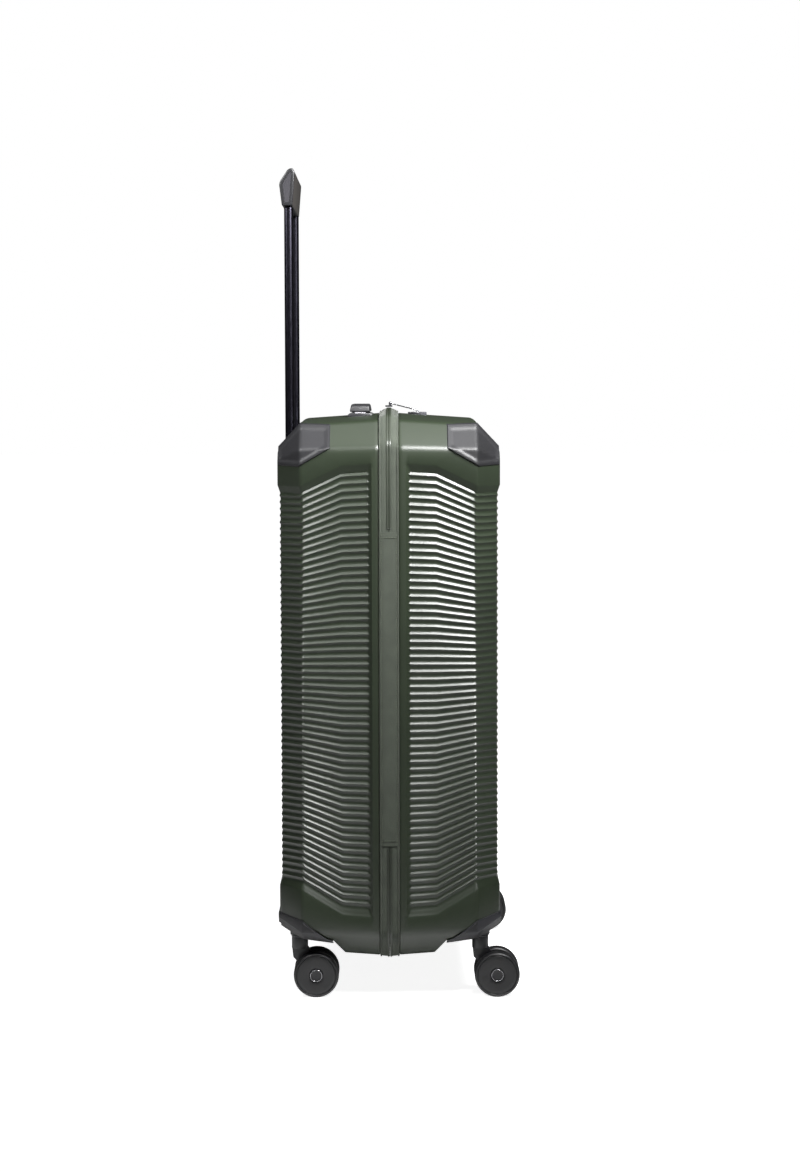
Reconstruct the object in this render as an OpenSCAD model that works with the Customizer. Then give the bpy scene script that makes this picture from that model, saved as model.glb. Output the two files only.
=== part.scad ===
// Hard shell suitcase on four twin casters, two zipped halves, with a telescopic trolley handle.
// X is the width: -X is the side with the fabric hinge, +X the side with the carry handle.
// Y is the depth: -Y is the front half, +Y the back half with the trolley. Z is up, floor at z = 0.

/* [Case] */
// Width of the case over the rims
case_w = 520; // [480:5:540]
// Height of the case bottom above the floor
case_bottom = 55; // [55:1:60]
// Height of the top edge above the floor, at the ends of its crown
case_top = 777; // [740:1:800]
// Rise of the top's crown at mid width
crown = 7; // [4:1:10]
// Depth of the case over the two flat faces
case_d = 297; // [280:1:320]
// Thickness of the shell wall
wall = 2.2; // [1.6:0.2:3]
// Cut of the corners seen from the front
corner_cut = 36; // [30:1:40]
// Chamfer between the walls and the flat faces, along the depth
chamfer_y = 31.5; // [28:0.5:34]
// The same chamfer, along the width and the height
chamfer_x = 34; // [30:1:38]
// How far the walls draw in between rim and chamfer
draft_in = 7; // [5:0.5:8]
// Depth of the ribbed field below its frame
field_depth = 3.5; // [2:0.5:4]

/* [Zip band] */
// Half width of the cloth band between the two rims
band_half = 13; // [12:0.5:15]
// How far the band stands above the top crown
band_rise = 5.5; // [5:0.5:7]
// Thickness of the band
band_t = 2.5; // [2:0.5:3]
// Height of the zip coil on the band
coil_h = 1.4; // [1:0.1:2]
// Lower and upper end of the cloth cover over the hinge
hinge_z = [211, 629]; // [200:1:640]

/* [Casters] */
// Wheel diameter
wheel_d = 61; // [50:1:62]
// Width over the two wheels of a caster
twin_w = 52; // [44:1:56]
// How far the wheels trail behind the swivel axis
trail = 22.5; // [18:0.5:24]
// Swivel axis from mid width
caster_x = 212; // [206:1:214]
// Swivel axis from mid depth
caster_y = 122; // [118:1:124]

/* [Trolley] */
// Tube centre from mid width
tube_x = 98; // [90:1:104]
// Tube centre from mid depth
tube_y = 136.3; // [135.3:0.1:136.3]
// Inner tube, width and depth
tube_size = [22, 12]; // [10:0.5:22]
// Height of the grip's underside with the handle drawn out
grip_z = 1067; // [1066:1:1080]
// Travel of the handle down to its stowed place
trolley_travel = 300; // [260:1:300]

/* [Hidden] */

$fn = 48;
half_w = case_w / 2;
face_y = case_d / 2;                    // the flat face, from mid depth
ridge_y = face_y - chamfer_y;           // where the chamfer starts
face_in = draft_in + chamfer_x;         // inset of the flat face from the rim
miter = tan(22.5);                      // how far a 45 degree edge moves along its neighbour
mid_z = (case_top + case_bottom) / 2;
top_z = case_top + crown;               // shell top at mid width
draft_angle = atan(draft_in / (ridge_y - band_half));
fit = 0.05;                             // radial running clearance
gap = 0.35;                             // clearance between parts that pass each other
shell_green = [0.19, 0.23, 0.17];
cloth_green = [0.35, 0.39, 0.32];
moulded_black = [0.08, 0.08, 0.085];

// Rim outline in X and Z, moved in by i, with extra rise e on the top; the top is crowned
function outline(i, e = 0) = let (w = half_w - i, c = corner_cut - 0.586 * i, lo = case_bottom + i,
    hi = case_top - i + e, f = w - c)
    concat([[w, lo + c], [w, hi - c]],
        [for (k = [-5 : 5]) [-f * k / 5, hi + crown * (1 - pow(k / 5, 2))]],
        [[-w, hi - c], [-w, lo + c], [-f, lo], [f, lo]]);

// Flat ring in Y from y0 to y1, between an outer and an inner outline
module ring(y0, y1, outer, inner)
    translate([0, y1, 0]) rotate([90, 0, 0]) linear_extrude(y1 - y0)
        difference() { polygon(outer); polygon(inner); }

module slab(y, i) translate([0, y + 0.01, 0]) rotate([90, 0, 0]) linear_extrude(0.01) polygon(outline(i));

// Solid half case moved in by t; the cavity (t > 0) runs on past the rim
module half_case(t) hull() {
    slab(band_half - (t > 0 ? 1 : 0), t);
    slab(ridge_y - miter * t, draft_in + t);
    slab(face_y - t, face_in + miter * t);
}

// Side profile of the ribbed field, grown by g, extruded over the whole width
module field(g) side_extrude(-half_w - 20, half_w + 20) polygon([
    [23 - g, case_bottom + 58 - g], [63, case_bottom + 60.5 - g], [ridge_y, case_bottom + 95 - g],
    [face_y + 20, case_bottom + 95 - g], [face_y + 20, case_top - 87 + g], [ridge_y, case_top - 87 + g],
    [63, case_top - 59.5 + g], [23 - g, case_top - 57 + g]]);

// Extrudes a profile drawn in Y and Z from x0 to x1
module side_extrude(x0, x1) translate([x0, 0, 0]) rotate([90, 0, 90]) linear_extrude(x1 - x0) children();

module both_sides() { children(); mirror([1, 0, 0]) children(); }
module front() mirror([0, 1, 0]) children();

// Bottom corners are stepped up over the casters: floor of the step at depth y
notch_x = 150;
notch_y = 60;
notch_slope = 21 / 67;
function notch_z(y) = case_bottom + 25 + (y - 76) * notch_slope;
module notch(g) both_sides() side_extrude(notch_x - g, half_w + 20) polygon([
    [notch_y - g, 0], [notch_y - g, case_bottom + 4 + g], [76 - g, notch_z(76) + g],
    [face_y + 20, notch_z(face_y + 20) + g], [face_y + 20, 0]]);

guard_t = 4.5;        // corner plate over the casters
guard_proud = 1.8;    // how far the guards stand off the shell
boss_r = 13;
stem_r = 5;
boss_bottom = 82.5;
boss_top = 112;
module at_casters() for (sx = [-1, 1]) translate([sx * caster_x, caster_y, 0]) children();

// Screws through the corner plates, square to the slope of the step
screw_places = [[178, 96], [240, 96]];
module at_guard_screws() both_sides() for (p = screw_places)
    translate([p[0], p[1], notch_z(p[1]) - guard_t]) rotate([atan(notch_slope), 0, 0]) children();
module screws() at_guard_screws() { translate([0, 0, -1.8]) cylinder(r = 3.4, h = 1.8, $fn = 24);
    cylinder(r = 1.5, h = 10, $fn = 24); }

// Trolley tubes: the outer ones stand on the foot bracket and end under the cup
tube_wall = 1;
outer_gap = 0.25;
outer_wall = 0.8;
outer_grow = outer_gap + outer_wall;
foot_z = [case_bottom + 49, case_bottom + 71];   // bracket that carries the outer tubes
cup_x = tube_x + 24;
cup_y = [ridge_y + 6, face_y - 1.5];
cup_z = [case_top - 33, top_z + 6];
outer_top = cup_z[0];
inner_bottom = outer_top - 144;          // drawn out, this much stays in the outer tubes
module at_tubes() for (s = [-1, 1]) translate([s * tube_x, tube_y, 0]) children();
module tube_box(g, z0, z1) translate([-tube_size[0] / 2 - g, -tube_size[1] / 2 - g, z0])
    cube([tube_size[0] + 2 * g, tube_size[1] + 2 * g, z1 - z0]);

// Cut-outs of the back half's fittings
module cup_block(g) translate([-cup_x - g, cup_y[0] - g, cup_z[0] - g])
    cube([2 * cup_x + 2 * g, cup_y[1] - cup_y[0] + 2 * g, cup_z[1] - cup_z[0] + 2 * g]);

handle_y = 39.5;          // carry handles, from mid depth
handle_span = 88;         // bracket centre from the handle's middle
bracket = [40, 34];
post_r = 4;
handle_travel = 15;
grip_w = [29, 25];        // grip width at its foot and at its top
grip_base = 4.5;          // grip's underside above the bracket seat
grip_h = 11;
flange_t = 8;
boss_depth = 5.5;
post_drop = boss_depth + 4.5 + handle_travel + gap;
top_seat = top_z - 2.5;   // brackets start just under the crown
side_seat = half_w - 3;
module at_brackets() for (s = [-1, 1]) translate([s * handle_span, 0, 0]) children();
module on_top() translate([0, handle_y, top_seat]) children();
module on_side() translate([side_seat, handle_y, mid_z]) rotate([0, 90, 0]) children();
module bracket_hole(g) at_brackets()
    translate([-bracket[0] / 2 - g, -bracket[1] / 2 - g, -30])
        cube([bracket[0] + 2 * g, bracket[1] + 2 * g, 45]);

lock_size = [64, 26];
lock_y = 40;
lock_top = top_z + 1.2;
lock_bottom = top_z - 20;
module lock_hole(g) translate([-lock_size[0] / 2 - g, -lock_y - lock_size[1] / 2 - g, lock_bottom - g])
    cube([lock_size[0] + 2 * g, lock_size[1] + 2 * g, 60]);

module shell_half() difference() {
    union() {
        difference() { half_case(0); field(0); }
        half_case(field_depth);
    }
    difference() {
        union() {
            half_case(field_depth + wall);
            difference() { half_case(wall); field(wall); }
        }
        notch(wall);
    }
    notch(0);
    at_casters() cylinder(r = boss_r, h = 200);
    at_guard_screws() translate([0, 0, -1]) cylinder(r = 1.5, h = 14, $fn = 24);
}

module back_shell() color(shell_green) difference() {
    shell_half();
    cup_block(0);
    on_top() bracket_hole(0);
    on_side() bracket_hole(0);
    at_tubes() translate([0, -10, 0]) tube_box(outer_grow + 0.2, foot_z[0] - 1, cup_z[0] + 4);
    at_tubes() tube_box(outer_grow + 0.2, foot_z[0] - 1, cup_z[0] + 4);
}
module front_shell() color(shell_green) difference() { front() shell_half(); lock_hole(0); }

// Cloth band: an outer strip, a side wall down to the rim and a lip sewn under the rim
band_out = -1.5;
band_gap = 0.6;       // from mid depth, so the halves part cleanly
lip_in = wall + 0.75;
lip_w = 7.4;
module zip_tape() {
    ring(band_gap, band_half, outline(band_out, band_rise), outline(band_out + band_t, band_rise));
    ring(band_half - 2, band_half, outline(band_out, band_rise), outline(lip_in + 2));
    ring(band_half, band_half + lip_w, outline(lip_in), outline(lip_in + 2));
}
module zip_tape_back() color(cloth_green) zip_tape();
module zip_tape_front() color(cloth_green) front() zip_tape();

module zip_coil() difference() {
    ring(band_gap, band_gap + 2.8, outline(band_out - coil_h, band_rise), outline(band_out, band_rise));
    translate([-half_w - 20, -1, hinge_z[0] - 6]) cube([60, 30, hinge_z[1] - hinge_z[0] + 12]);
}
module zip_coil_back() color([0.16, 0.18, 0.14]) zip_coil();
module zip_coil_front() color([0.16, 0.18, 0.14]) front() zip_coil();

module hinge_cover() translate([-half_w + band_out - 2, band_gap, hinge_z[0]])
    cube([2, band_half - 2, hinge_z[1] - hinge_z[0]]);
module hinge_cover_back() color(cloth_green) hinge_cover();
module hinge_cover_front() color(cloth_green) front() hinge_cover();

// Corner guards follow the shell's outside and stand a little off it
module guard_skin(x0) difference() {
    half_case(-guard_proud);
    half_case(0);
    translate([-x0, -50, -50]) cube([2 * x0, 300, 1000]);
}
module top_guards() intersection() {
    guard_skin(half_w - corner_cut);
    side_extrude(-half_w - 10, half_w + 10) polygon([[77, case_top - 37.5], [77, case_top - 6],
        [ridge_y, case_top - 4], [face_y + 5, case_top - 38], [face_y + 5, case_top - 60],
        [ridge_y + 2, case_top - 62]]);
}
module top_guards_back() color(moulded_black) top_guards();
module top_guards_front() color(moulded_black) front() top_guards();

module bottom_guards() difference() {
    union() {
        intersection() {
            half_case(-guard_proud);
            both_sides() side_extrude(notch_x, 300) polygon([[78, notch_z(78) - guard_t],
                [76, notch_z(76)], [180, notch_z(180)], [180, notch_z(180) - guard_t]]);
        }
        intersection() {
            guard_skin(notch_x);
            side_extrude(-300, 300) polygon([[76, notch_z(76) - 4], [ridge_y, notch_z(ridge_y) + 16],
                [180, notch_z(ridge_y) + 24], [180, notch_z(160)], [ridge_y, notch_z(ridge_y) - 3]]);
        }
        at_casters() translate([0, 0, boss_bottom]) cylinder(r = boss_r, h = boss_top - boss_bottom);
    }
    at_casters() cylinder(r = stem_r + fit, h = 200);
    at_guard_screws() translate([0, 0, -1]) cylinder(r = 1.5, h = 14, $fn = 24);
}
module bottom_guards_back() color(moulded_black) bottom_guards();
module bottom_guards_front() color(moulded_black) front() bottom_guards();
module back_screws() color("dimgray") screws();
module front_screws() color("dimgray") front() screws();

// Lining: a thin cloth tub inside the shell, with a level floor over the trolley tubes
lining_t = 1.2;
lining_gap = 0.4;                  // between the shell and the cloth
lining_edge = band_half + 10;      // where the cloth starts, from mid depth
back_floor = ridge_y + 7;
front_floor = face_y - 10.5;
tub_clear = [8, 10, 9];            // how far the tub keeps from the caster steps and their bosses
tub_step = [notch_x - tub_clear[0], notch_y - tub_clear[1], boss_top + tub_clear[2]];
module tub(t, floor_y) let (y0 = lining_edge - (t > 0 ? 1 : 0)) difference() {
    intersection() {
        half_case(field_depth + wall + lining_gap + t);
        translate([-half_w, y0, 0]) cube([case_w, floor_y - t - y0, 1000]);
    }
    both_sides() translate([tub_step[0] - t, tub_step[1] - t, 0]) cube([200, 200, tub_step[2] + t]);
}
module back_lining() color([0.28, 0.28, 0.3]) difference() {
    tub(0, back_floor);
    tub(lining_t, back_floor);
    on_top() bracket_hole(1);
    on_side() bracket_hole(1);
}
module front_lining() color([0.28, 0.28, 0.3]) difference() {
    front() tub(0, front_floor);
    front() tub(lining_t, front_floor);
    lock_hole(1);
}
// Board between the lining and the trolley tubes
cover_x = 215;
cover_t = 2;
module trolley_cover() color("gray") translate([-cover_x, back_floor + 0.1, foot_z[1]])
    cube([2 * cover_x, cover_t, cup_z[0] - 9 - foot_z[1]]);
// Flat mesh pocket on the floor of the front lining
pocket = [360, 2, 360];
pocket_bottom = 180;
module front_pocket() color([0.2, 0.2, 0.21])
    translate([-pocket[0] / 2, -front_floor + lining_t + 0.1, pocket_bottom]) cube(pocket);

// Two crossed packing straps on the floor of the back half and their joined side-release buckle
strap_y = back_floor - lining_t - 0.1;
strap_tilt = 24;
strap = [170, 1.2, 25];
strap_start = 37;          // from the middle of the crossing
buckle = [40, 6.9, 44];
buckle_left = -33;
plug = [26, 5, 36];
module packing_straps() color([0.12, 0.12, 0.13])
    for (side = [-1, 1]) for (flip = [-1, 1])
        translate([0, strap_y - strap[1], mid_z]) rotate([0, side * flip * strap_tilt, 0])
            translate([side > 0 ? strap_start : -strap_start - strap[0], 0, -strap[2] / 2]) cube(strap);
module strap_buckle() color(moulded_black) {
    translate([buckle_left, strap_y - buckle[1] - 0.1, mid_z - buckle[2] / 2]) cube(buckle);
    translate([buckle_left + buckle[0] + 0.1, strap_y - plug[1] - 1, mid_z - plug[2] / 2]) cube(plug);
}

// Trolley
module trolley_outer_tubes() color("silver") at_tubes() difference() {
    tube_box(outer_grow, foot_z[1], outer_top);
    tube_box(outer_gap, foot_z[1] - 1, outer_top + 1);
}
module trolley_foot_bracket() color(moulded_black)
    translate([-tube_x - 18, tube_y - tube_size[1] / 2 - outer_grow, foot_z[0]])
        cube([2 * tube_x + 36, tube_size[1] + 2 * outer_grow, foot_z[1] - foot_z[0]]);
module trolley_cup() color(moulded_black) difference() {
    intersection() {
        union() {
            difference() { cup_block(0); half_case(wall + 1.8); }
            at_tubes() tube_box(4, outer_top, cup_z[1]);
        }
        half_case(-1.2);
    }
    at_tubes() tube_box(outer_gap, outer_top - 1, 900);
}
module trolley_inner_tubes() color(moulded_black) at_tubes() difference() {
    tube_box(0, inner_bottom, grip_z + 14);
    tube_box(-tube_wall, inner_bottom - 1, grip_z + 15);
}
module guide_blocks() color("gray") at_tubes() {
    tube_box(0, inner_bottom - 15, inner_bottom);
    tube_box(-tube_wall, inner_bottom, inner_bottom + 12);
}

// Grip: one profile in Y and Z over the whole length, split into an upper and a lower shell
grip_x = 118;
grip_split = grip_z + 18;
module grip_profile() polygon([[130.4, grip_z], [144.8, grip_z], [148.3, grip_z + 28.5], [147, grip_z + 33],
    [137.5, grip_z + 47.5], [134, grip_z + 50.2], [129.5, grip_z + 50.2], [126.8, grip_z + 45]]);
module grip_body() side_extrude(-grip_x, grip_x) grip_profile();
module rod_space() translate([-tube_x - 6, tube_y - 4.5, grip_split - 0.01])
    cube([2 * tube_x + 12, 9, 14]);
button_x = 15;
button_y = [129.6, 137];
button_top = grip_z + 52;
button_travel = 3;
bar_z = [grip_split + 4.5, grip_split + 8];
module button_block(g, z0, z1) translate([-button_x - g, button_y[0] - g, z0])
    cube([2 * button_x + 2 * g, button_y[1] - button_y[0] + 2 * g, z1 - z0]);
module trolley_grip_upper() color(moulded_black) difference() {
    intersection() { grip_body(); translate([-200, 100, grip_split]) cube([400, 100, 100]); }
    rod_space();
    button_block(gap, grip_split + 4, grip_z + 60);
}
module trolley_grip_lower() color(moulded_black) difference() {
    intersection() { grip_body(); translate([-200, 100, grip_split - 100]) cube([400, 100, 100]); }
    at_tubes() tube_box(0, grip_z - 1, grip_z + 14);
    at_tubes() cylinder(r = 2.6, h = 1200, $fn = 24);
}
module trolley_button() color([0.15, 0.15, 0.16]) button_block(0, bar_z[1], button_top);
module push_rods() color("silver") {
    translate([-tube_x - 3, tube_y - 3, bar_z[0]]) cube([2 * tube_x + 6, 6, bar_z[1] - bar_z[0]]);
    at_tubes() translate([0, 0, inner_bottom + 16])
        cylinder(r = 2, h = bar_z[0] - inner_bottom - 16, $fn = 24);
}
module button_spring() color("silver") translate([0, tube_y, grip_split]) difference() {
    cylinder(r = 3.2, h = bar_z[0] - grip_split, $fn = 24);
    translate([0, 0, -1]) cylinder(r = 2.4, h = 20, $fn = 24);
}

// Carry handles: a grip on two posts that slide in the brackets
module handle_brackets() at_brackets() difference() {
    union() {
        translate([-bracket[0] / 2, -bracket[1] / 2, 3.5 - flange_t]) cube([bracket[0], bracket[1], flange_t]);
        translate([0, 0, 3.5 - flange_t - boss_depth]) cylinder(r = 8, h = boss_depth);
    }
    translate([0, 0, -50]) cylinder(r = post_r + fit, h = 100);
}
module handle_grip() {
    side_extrude(-handle_span - 12, handle_span + 12)
        polygon([[-grip_w[0] / 2, grip_base], [grip_w[0] / 2, grip_base],
            [grip_w[1] / 2, grip_base + grip_h], [-grip_w[1] / 2, grip_base + grip_h]]);
    at_brackets() {
        translate([0, 0, -post_drop]) cylinder(r = post_r, h = post_drop + grip_base + 1);
        translate([0, 0, -post_drop - 3]) cylinder(r = post_r + 2.5, h = 3);
    }
}
module top_handle_brackets() color(moulded_black) on_top() handle_brackets();
module side_handle_brackets() color(moulded_black) on_side() handle_brackets();
module top_handle_grip() color([0.12, 0.12, 0.13]) on_top() handle_grip();
module side_handle_grip() color([0.12, 0.12, 0.13]) on_side() handle_grip();

// Zip sliders: plates over and under the band, joined through the gap between the coils
band_top = top_z - band_out + band_rise;
slider_x = 9;
slider = [14, 10];
plate_lo = band_top + coil_h + gap;
pin_y = -2;
pin_z = plate_lo + 4.9;
puller_tilt = 14.3;
puller = [8, 44, 1.6];     // the tab's width, reach from the pin and thickness
puller_neck = [5.4, 10];
module zip_slider(x) color("dimgray") translate([x, 0, 0]) {
    translate([-slider[0] / 2, -slider[1] / 2, plate_lo]) cube([slider[0], slider[1], 2]);
    translate([-1.2, -0.25, band_top - band_t - gap - 1]) cube([2.4, 0.5, 9]);
    translate([-slider[0] / 2, -slider[1] / 2, band_top - band_t - gap - 1.5]) cube([slider[0], slider[1], 1.5]);
    for (s = [-1, 1]) translate([s * 4.3 - 0.7, pin_y - 1.6, plate_lo + 2]) cube([1.4, 3.2, 4.2]);
    translate([-4, pin_y, pin_z]) rotate([0, 90, 0]) cylinder(r = 0.9, h = 8, $fn = 24);
}
module zip_puller(x) color("silver") translate([x, pin_y, pin_z]) rotate([puller_tilt, 0, 0]) difference() {
    union() {
        translate([-puller_neck[0] / 2, 0, 0]) rotate([0, 90, 0])
            cylinder(r = 2.3, h = puller_neck[0], $fn = 32);
        translate([-puller_neck[0] / 2, -puller_neck[1], -puller[2] / 2])
            cube([puller_neck[0], puller_neck[1], puller[2]]);
        translate([-puller[0] / 2, -puller[1], -puller[2] / 2])
            cube([puller[0], puller[1] - puller_neck[1] + 0.5, puller[2]]);
    }
    translate([-10, 0, 0]) rotate([0, 90, 0]) cylinder(r = 1.3, h = 20, $fn = 32);
    translate([-2, 3 - puller[1], -5]) cube([4, 14, 10]);
}
module zip_slider_a() zip_slider(-slider_x);
module zip_slider_b() zip_slider(slider_x);
module zip_puller_a() zip_puller(-slider_x);
module zip_puller_b() zip_puller(slider_x);

// Combination lock let into the front shell beside the zip
dial_r = 8;
dial_w = 6;
dial_pitch = 9;
dial_z = lock_top + 1 - dial_r;
spindle_r = 1.5;
button_place = 23;
module lock_case() color("dimgray") {
    difference() {
        translate([-lock_size[0] / 2, -lock_y - lock_size[1] / 2, lock_bottom])
            cube([lock_size[0], lock_size[1], lock_top - lock_bottom]);
        for (k = [-1 : 1]) translate([k * dial_pitch - dial_w / 2 - 0.4, -lock_y, dial_z])
            rotate([0, 90, 0]) cylinder(r = dial_r + 0.5, h = dial_w + 0.8);
        translate([button_place - 4.5 - gap, -lock_y - 6 - gap, lock_top - 9])
            cube([9 + 2 * gap, 12 + 2 * gap, 20]);
        translate([-button_place, -lock_y, lock_top - 13.3]) cylinder(r = 4.5 + fit, h = 20);
    }
    translate([-dial_pitch - 4, -lock_y, dial_z]) rotate([0, 90, 0])
        cylinder(r = spindle_r, h = 2 * dial_pitch + 8, $fn = 32);
}
module lock_dial(k) color("gray") translate([k * dial_pitch - dial_w / 2, -lock_y, dial_z])
    rotate([0, 90, 0]) difference() {
        cylinder(r = dial_r, h = dial_w);
        translate([0, 0, -1]) cylinder(r = spindle_r + fit, h = dial_w + 2, $fn = 32);
    }
module lock_dial_1() lock_dial(-1);
module lock_dial_2() lock_dial(0);
module lock_dial_3() lock_dial(1);
module lock_button() color("gray") translate([button_place - 4.5, -lock_y - 6, lock_top - 6])
    cube([9, 12, 6.4]);
module key_cylinder() color("gainsboro") translate([-button_place, -lock_y, lock_top - 13]) difference() {
    cylinder(r = 4.5, h = 13.4);
    translate([-0.5, -3, 11]) cube([1, 6, 10]);
}

// Casters, numbered from the back at -X round to the front at -X
caster_places = [[-1, 1], [1, 1], [1, -1], [-1, -1]];
wheel_r = wheel_d / 2;
leg_w = 11;
axle_r = 3;
collar_r = 11;
collar_bottom = wheel_d + 3;
wheel_in = leg_w / 2 + 0.7;
wheel_w = twin_w / 2 - wheel_in;
module at_caster(n) translate([caster_places[n - 1][0] * caster_x, caster_places[n - 1][1] * caster_y, 0])
    children();
module caster_fork(n) color(moulded_black) at_caster(n) difference() {
    union() {
        translate([0, 0, collar_bottom]) cylinder(r = stem_r, h = boss_top + 1 - collar_bottom, $fn = 48);
        translate([0, 0, boss_top + 0.3]) cylinder(r = stem_r + 2.5, h = 2);
        translate([0, 0, collar_bottom]) cylinder(r = collar_r, h = boss_bottom - 0.5 - collar_bottom);
        side_extrude(-leg_w / 2, leg_w / 2) polygon([[-10.5, 66], [10.5, 66], [9, 52], [-16, 24], [-30, 36]]);
        translate([-leg_w / 2, -trail, wheel_r]) rotate([0, 90, 0]) cylinder(r = 9, h = leg_w);
    }
    translate([-20, -trail, wheel_r]) rotate([0, 90, 0]) cylinder(r = axle_r, h = 40, $fn = 48);
}
module caster_axle(n) color("silver") at_caster(n) translate([0, -trail, wheel_r]) rotate([0, 90, 0]) {
    cylinder(r = axle_r, h = twin_w - 6, center = true);
    for (s = [-1, 1]) translate([0, 0, s * (twin_w / 2 - 3.5) - 0.6]) cylinder(r = 5, h = 1.2);
}
module wheel(n, side) color([0.13, 0.13, 0.14]) at_caster(n) translate([0, -trail, wheel_r])
    rotate([0, side * 90, 0]) translate([0, 0, wheel_in]) rotate_extrude() polygon([
        [axle_r + fit, 0], [9, 0], [9, 2], [wheel_r - 2.5, 2], [wheel_r, 4.5], [wheel_r, wheel_w - 4.5],
        [wheel_r - 4.5, wheel_w], [8, wheel_w], [8, wheel_w - 4.6], [axle_r + fit, wheel_w - 4.6]]);
module caster_fork_1() caster_fork(1);
module caster_fork_2() caster_fork(2);
module caster_fork_3() caster_fork(3);
module caster_fork_4() caster_fork(4);
module caster_axle_1() caster_axle(1);
module caster_axle_2() caster_axle(2);
module caster_axle_3() caster_axle(3);
module caster_axle_4() caster_axle(4);
module wheel_1_left() wheel(1, -1);
module wheel_1_right() wheel(1, 1);
module wheel_2_left() wheel(2, -1);
module wheel_2_right() wheel(2, 1);
module wheel_3_left() wheel(3, -1);
module wheel_3_right() wheel(3, 1);
module wheel_4_left() wheel(4, -1);
module wheel_4_right() wheel(4, 1);

back_shell();
zip_tape_back();
zip_coil_back();
top_guards_back();
bottom_guards_back();
trolley_outer_tubes();
trolley_cup();
trolley_foot_bracket();
trolley_cover();
back_lining();
packing_straps();
strap_buckle();
top_handle_brackets();
side_handle_brackets();
hinge_cover_back();
back_screws();
front_shell();
zip_tape_front();
zip_coil_front();
top_guards_front();
bottom_guards_front();
front_lining();
front_pocket();
hinge_cover_front();
front_screws();
lock_case();
lock_button();
key_cylinder();
lock_dial_1();
lock_dial_2();
lock_dial_3();
trolley_inner_tubes();
guide_blocks();
trolley_grip_upper();
trolley_grip_lower();
trolley_button();
push_rods();
button_spring();
top_handle_grip();
side_handle_grip();
zip_slider_a();
zip_slider_b();
zip_puller_a();
zip_puller_b();
caster_fork_1();
caster_fork_2();
caster_fork_3();
caster_fork_4();
caster_axle_1();
caster_axle_2();
caster_axle_3();
caster_axle_4();
wheel_1_left();
wheel_1_right();
wheel_2_left();
wheel_2_right();
wheel_3_left();
wheel_3_right();
wheel_4_left();
wheel_4_right();
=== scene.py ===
import math
import bmesh
import bpy
import numpy as np
from mathutils import Matrix, Vector


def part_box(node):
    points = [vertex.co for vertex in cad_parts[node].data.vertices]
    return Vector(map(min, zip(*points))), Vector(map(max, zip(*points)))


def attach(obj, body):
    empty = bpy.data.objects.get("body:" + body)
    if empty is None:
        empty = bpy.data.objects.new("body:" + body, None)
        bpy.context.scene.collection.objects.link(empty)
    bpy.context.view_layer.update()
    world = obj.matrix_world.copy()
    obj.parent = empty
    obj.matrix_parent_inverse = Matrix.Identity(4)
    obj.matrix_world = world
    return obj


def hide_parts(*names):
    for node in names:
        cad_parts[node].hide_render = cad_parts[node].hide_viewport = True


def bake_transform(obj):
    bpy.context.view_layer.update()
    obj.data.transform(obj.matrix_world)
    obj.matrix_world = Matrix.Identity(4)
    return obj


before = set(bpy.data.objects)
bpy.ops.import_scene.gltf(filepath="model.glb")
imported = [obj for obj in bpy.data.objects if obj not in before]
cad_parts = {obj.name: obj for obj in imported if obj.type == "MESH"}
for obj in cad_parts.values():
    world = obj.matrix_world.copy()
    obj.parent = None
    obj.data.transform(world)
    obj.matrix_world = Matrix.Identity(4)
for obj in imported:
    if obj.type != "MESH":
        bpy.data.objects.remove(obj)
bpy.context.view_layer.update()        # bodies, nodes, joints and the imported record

bpy.ops.object.select_all(action="DESELECT")

mm = 0.001

# the case's own sizes, in metres, read off the frame where it holds them
shellLow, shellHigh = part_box("back_shell")
case = {
    "halfWidth": shellHigh[0],
    "bottom": shellLow[2],
    "crown": 7 * mm,                       # rise of the top at mid width
    "face": shellHigh[1],                  # flat faces, from the zip plane
    "bandHalf": shellLow[1],               # half width of the zip band
    "chamferDeep": 31.5 * mm,
    "chamferWide": 34 * mm,
    "draft": 7 * mm,
    "cut": 36 * mm,                        # corners seen from the front
    "cornerRound": 16 * mm,
    "wall": 2.6 * mm,
}
case["topEdge"] = shellHigh[2] - case["crown"]
case["ridge"] = case["face"] - case["chamferDeep"]
case["faceInset"] = case["draft"] + case["chamferWide"]
case["mid"] = (case["topEdge"] + case["bottom"]) / 2


def activate(piece):
    bpy.ops.object.select_all(action="DESELECT")
    piece.select_set(True)
    bpy.context.view_layer.objects.active = piece


def applyModifiers(piece):
    activate(piece)
    for modifier in list(piece.modifiers):
        bpy.ops.object.modifier_apply(modifier=modifier.name)


def bevelled(piece, width, segments=2, angle=30):
    modifier = piece.modifiers.new("rounding", "BEVEL")
    modifier.width = width
    modifier.segments = segments
    modifier.limit_method = "ANGLE"
    modifier.angle_limit = math.radians(angle)
    modifier.harden_normals = False
    applyModifiers(piece)
    return piece


def smooth(piece, angle=35):
    activate(piece)
    bpy.ops.object.shade_smooth_by_angle(angle=math.radians(angle))
    return piece


def settle(piece):                          # puts a piece's place into its mesh
    activate(piece)
    bpy.ops.object.transform_apply(location=True, rotation=True, scale=True)
    return piece


def joined(pieces, name):
    for piece in pieces:
        settle(piece)
    bpy.ops.object.select_all(action="DESELECT")
    for piece in pieces:
        piece.select_set(True)
    bpy.context.view_layer.objects.active = pieces[0]
    if len(pieces) > 1:
        bpy.ops.object.join()
    result = bpy.context.view_layer.objects.active
    result.name = name
    result.data.name = name
    return result


def outward(piece):
    activate(piece)
    bpy.ops.object.mode_set(mode="EDIT")
    bpy.ops.mesh.select_all(action="SELECT")
    bpy.ops.mesh.remove_doubles(threshold=1e-6)
    bpy.ops.mesh.normals_make_consistent(inside=False)
    bpy.ops.object.mode_set(mode="OBJECT")
    return piece


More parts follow.
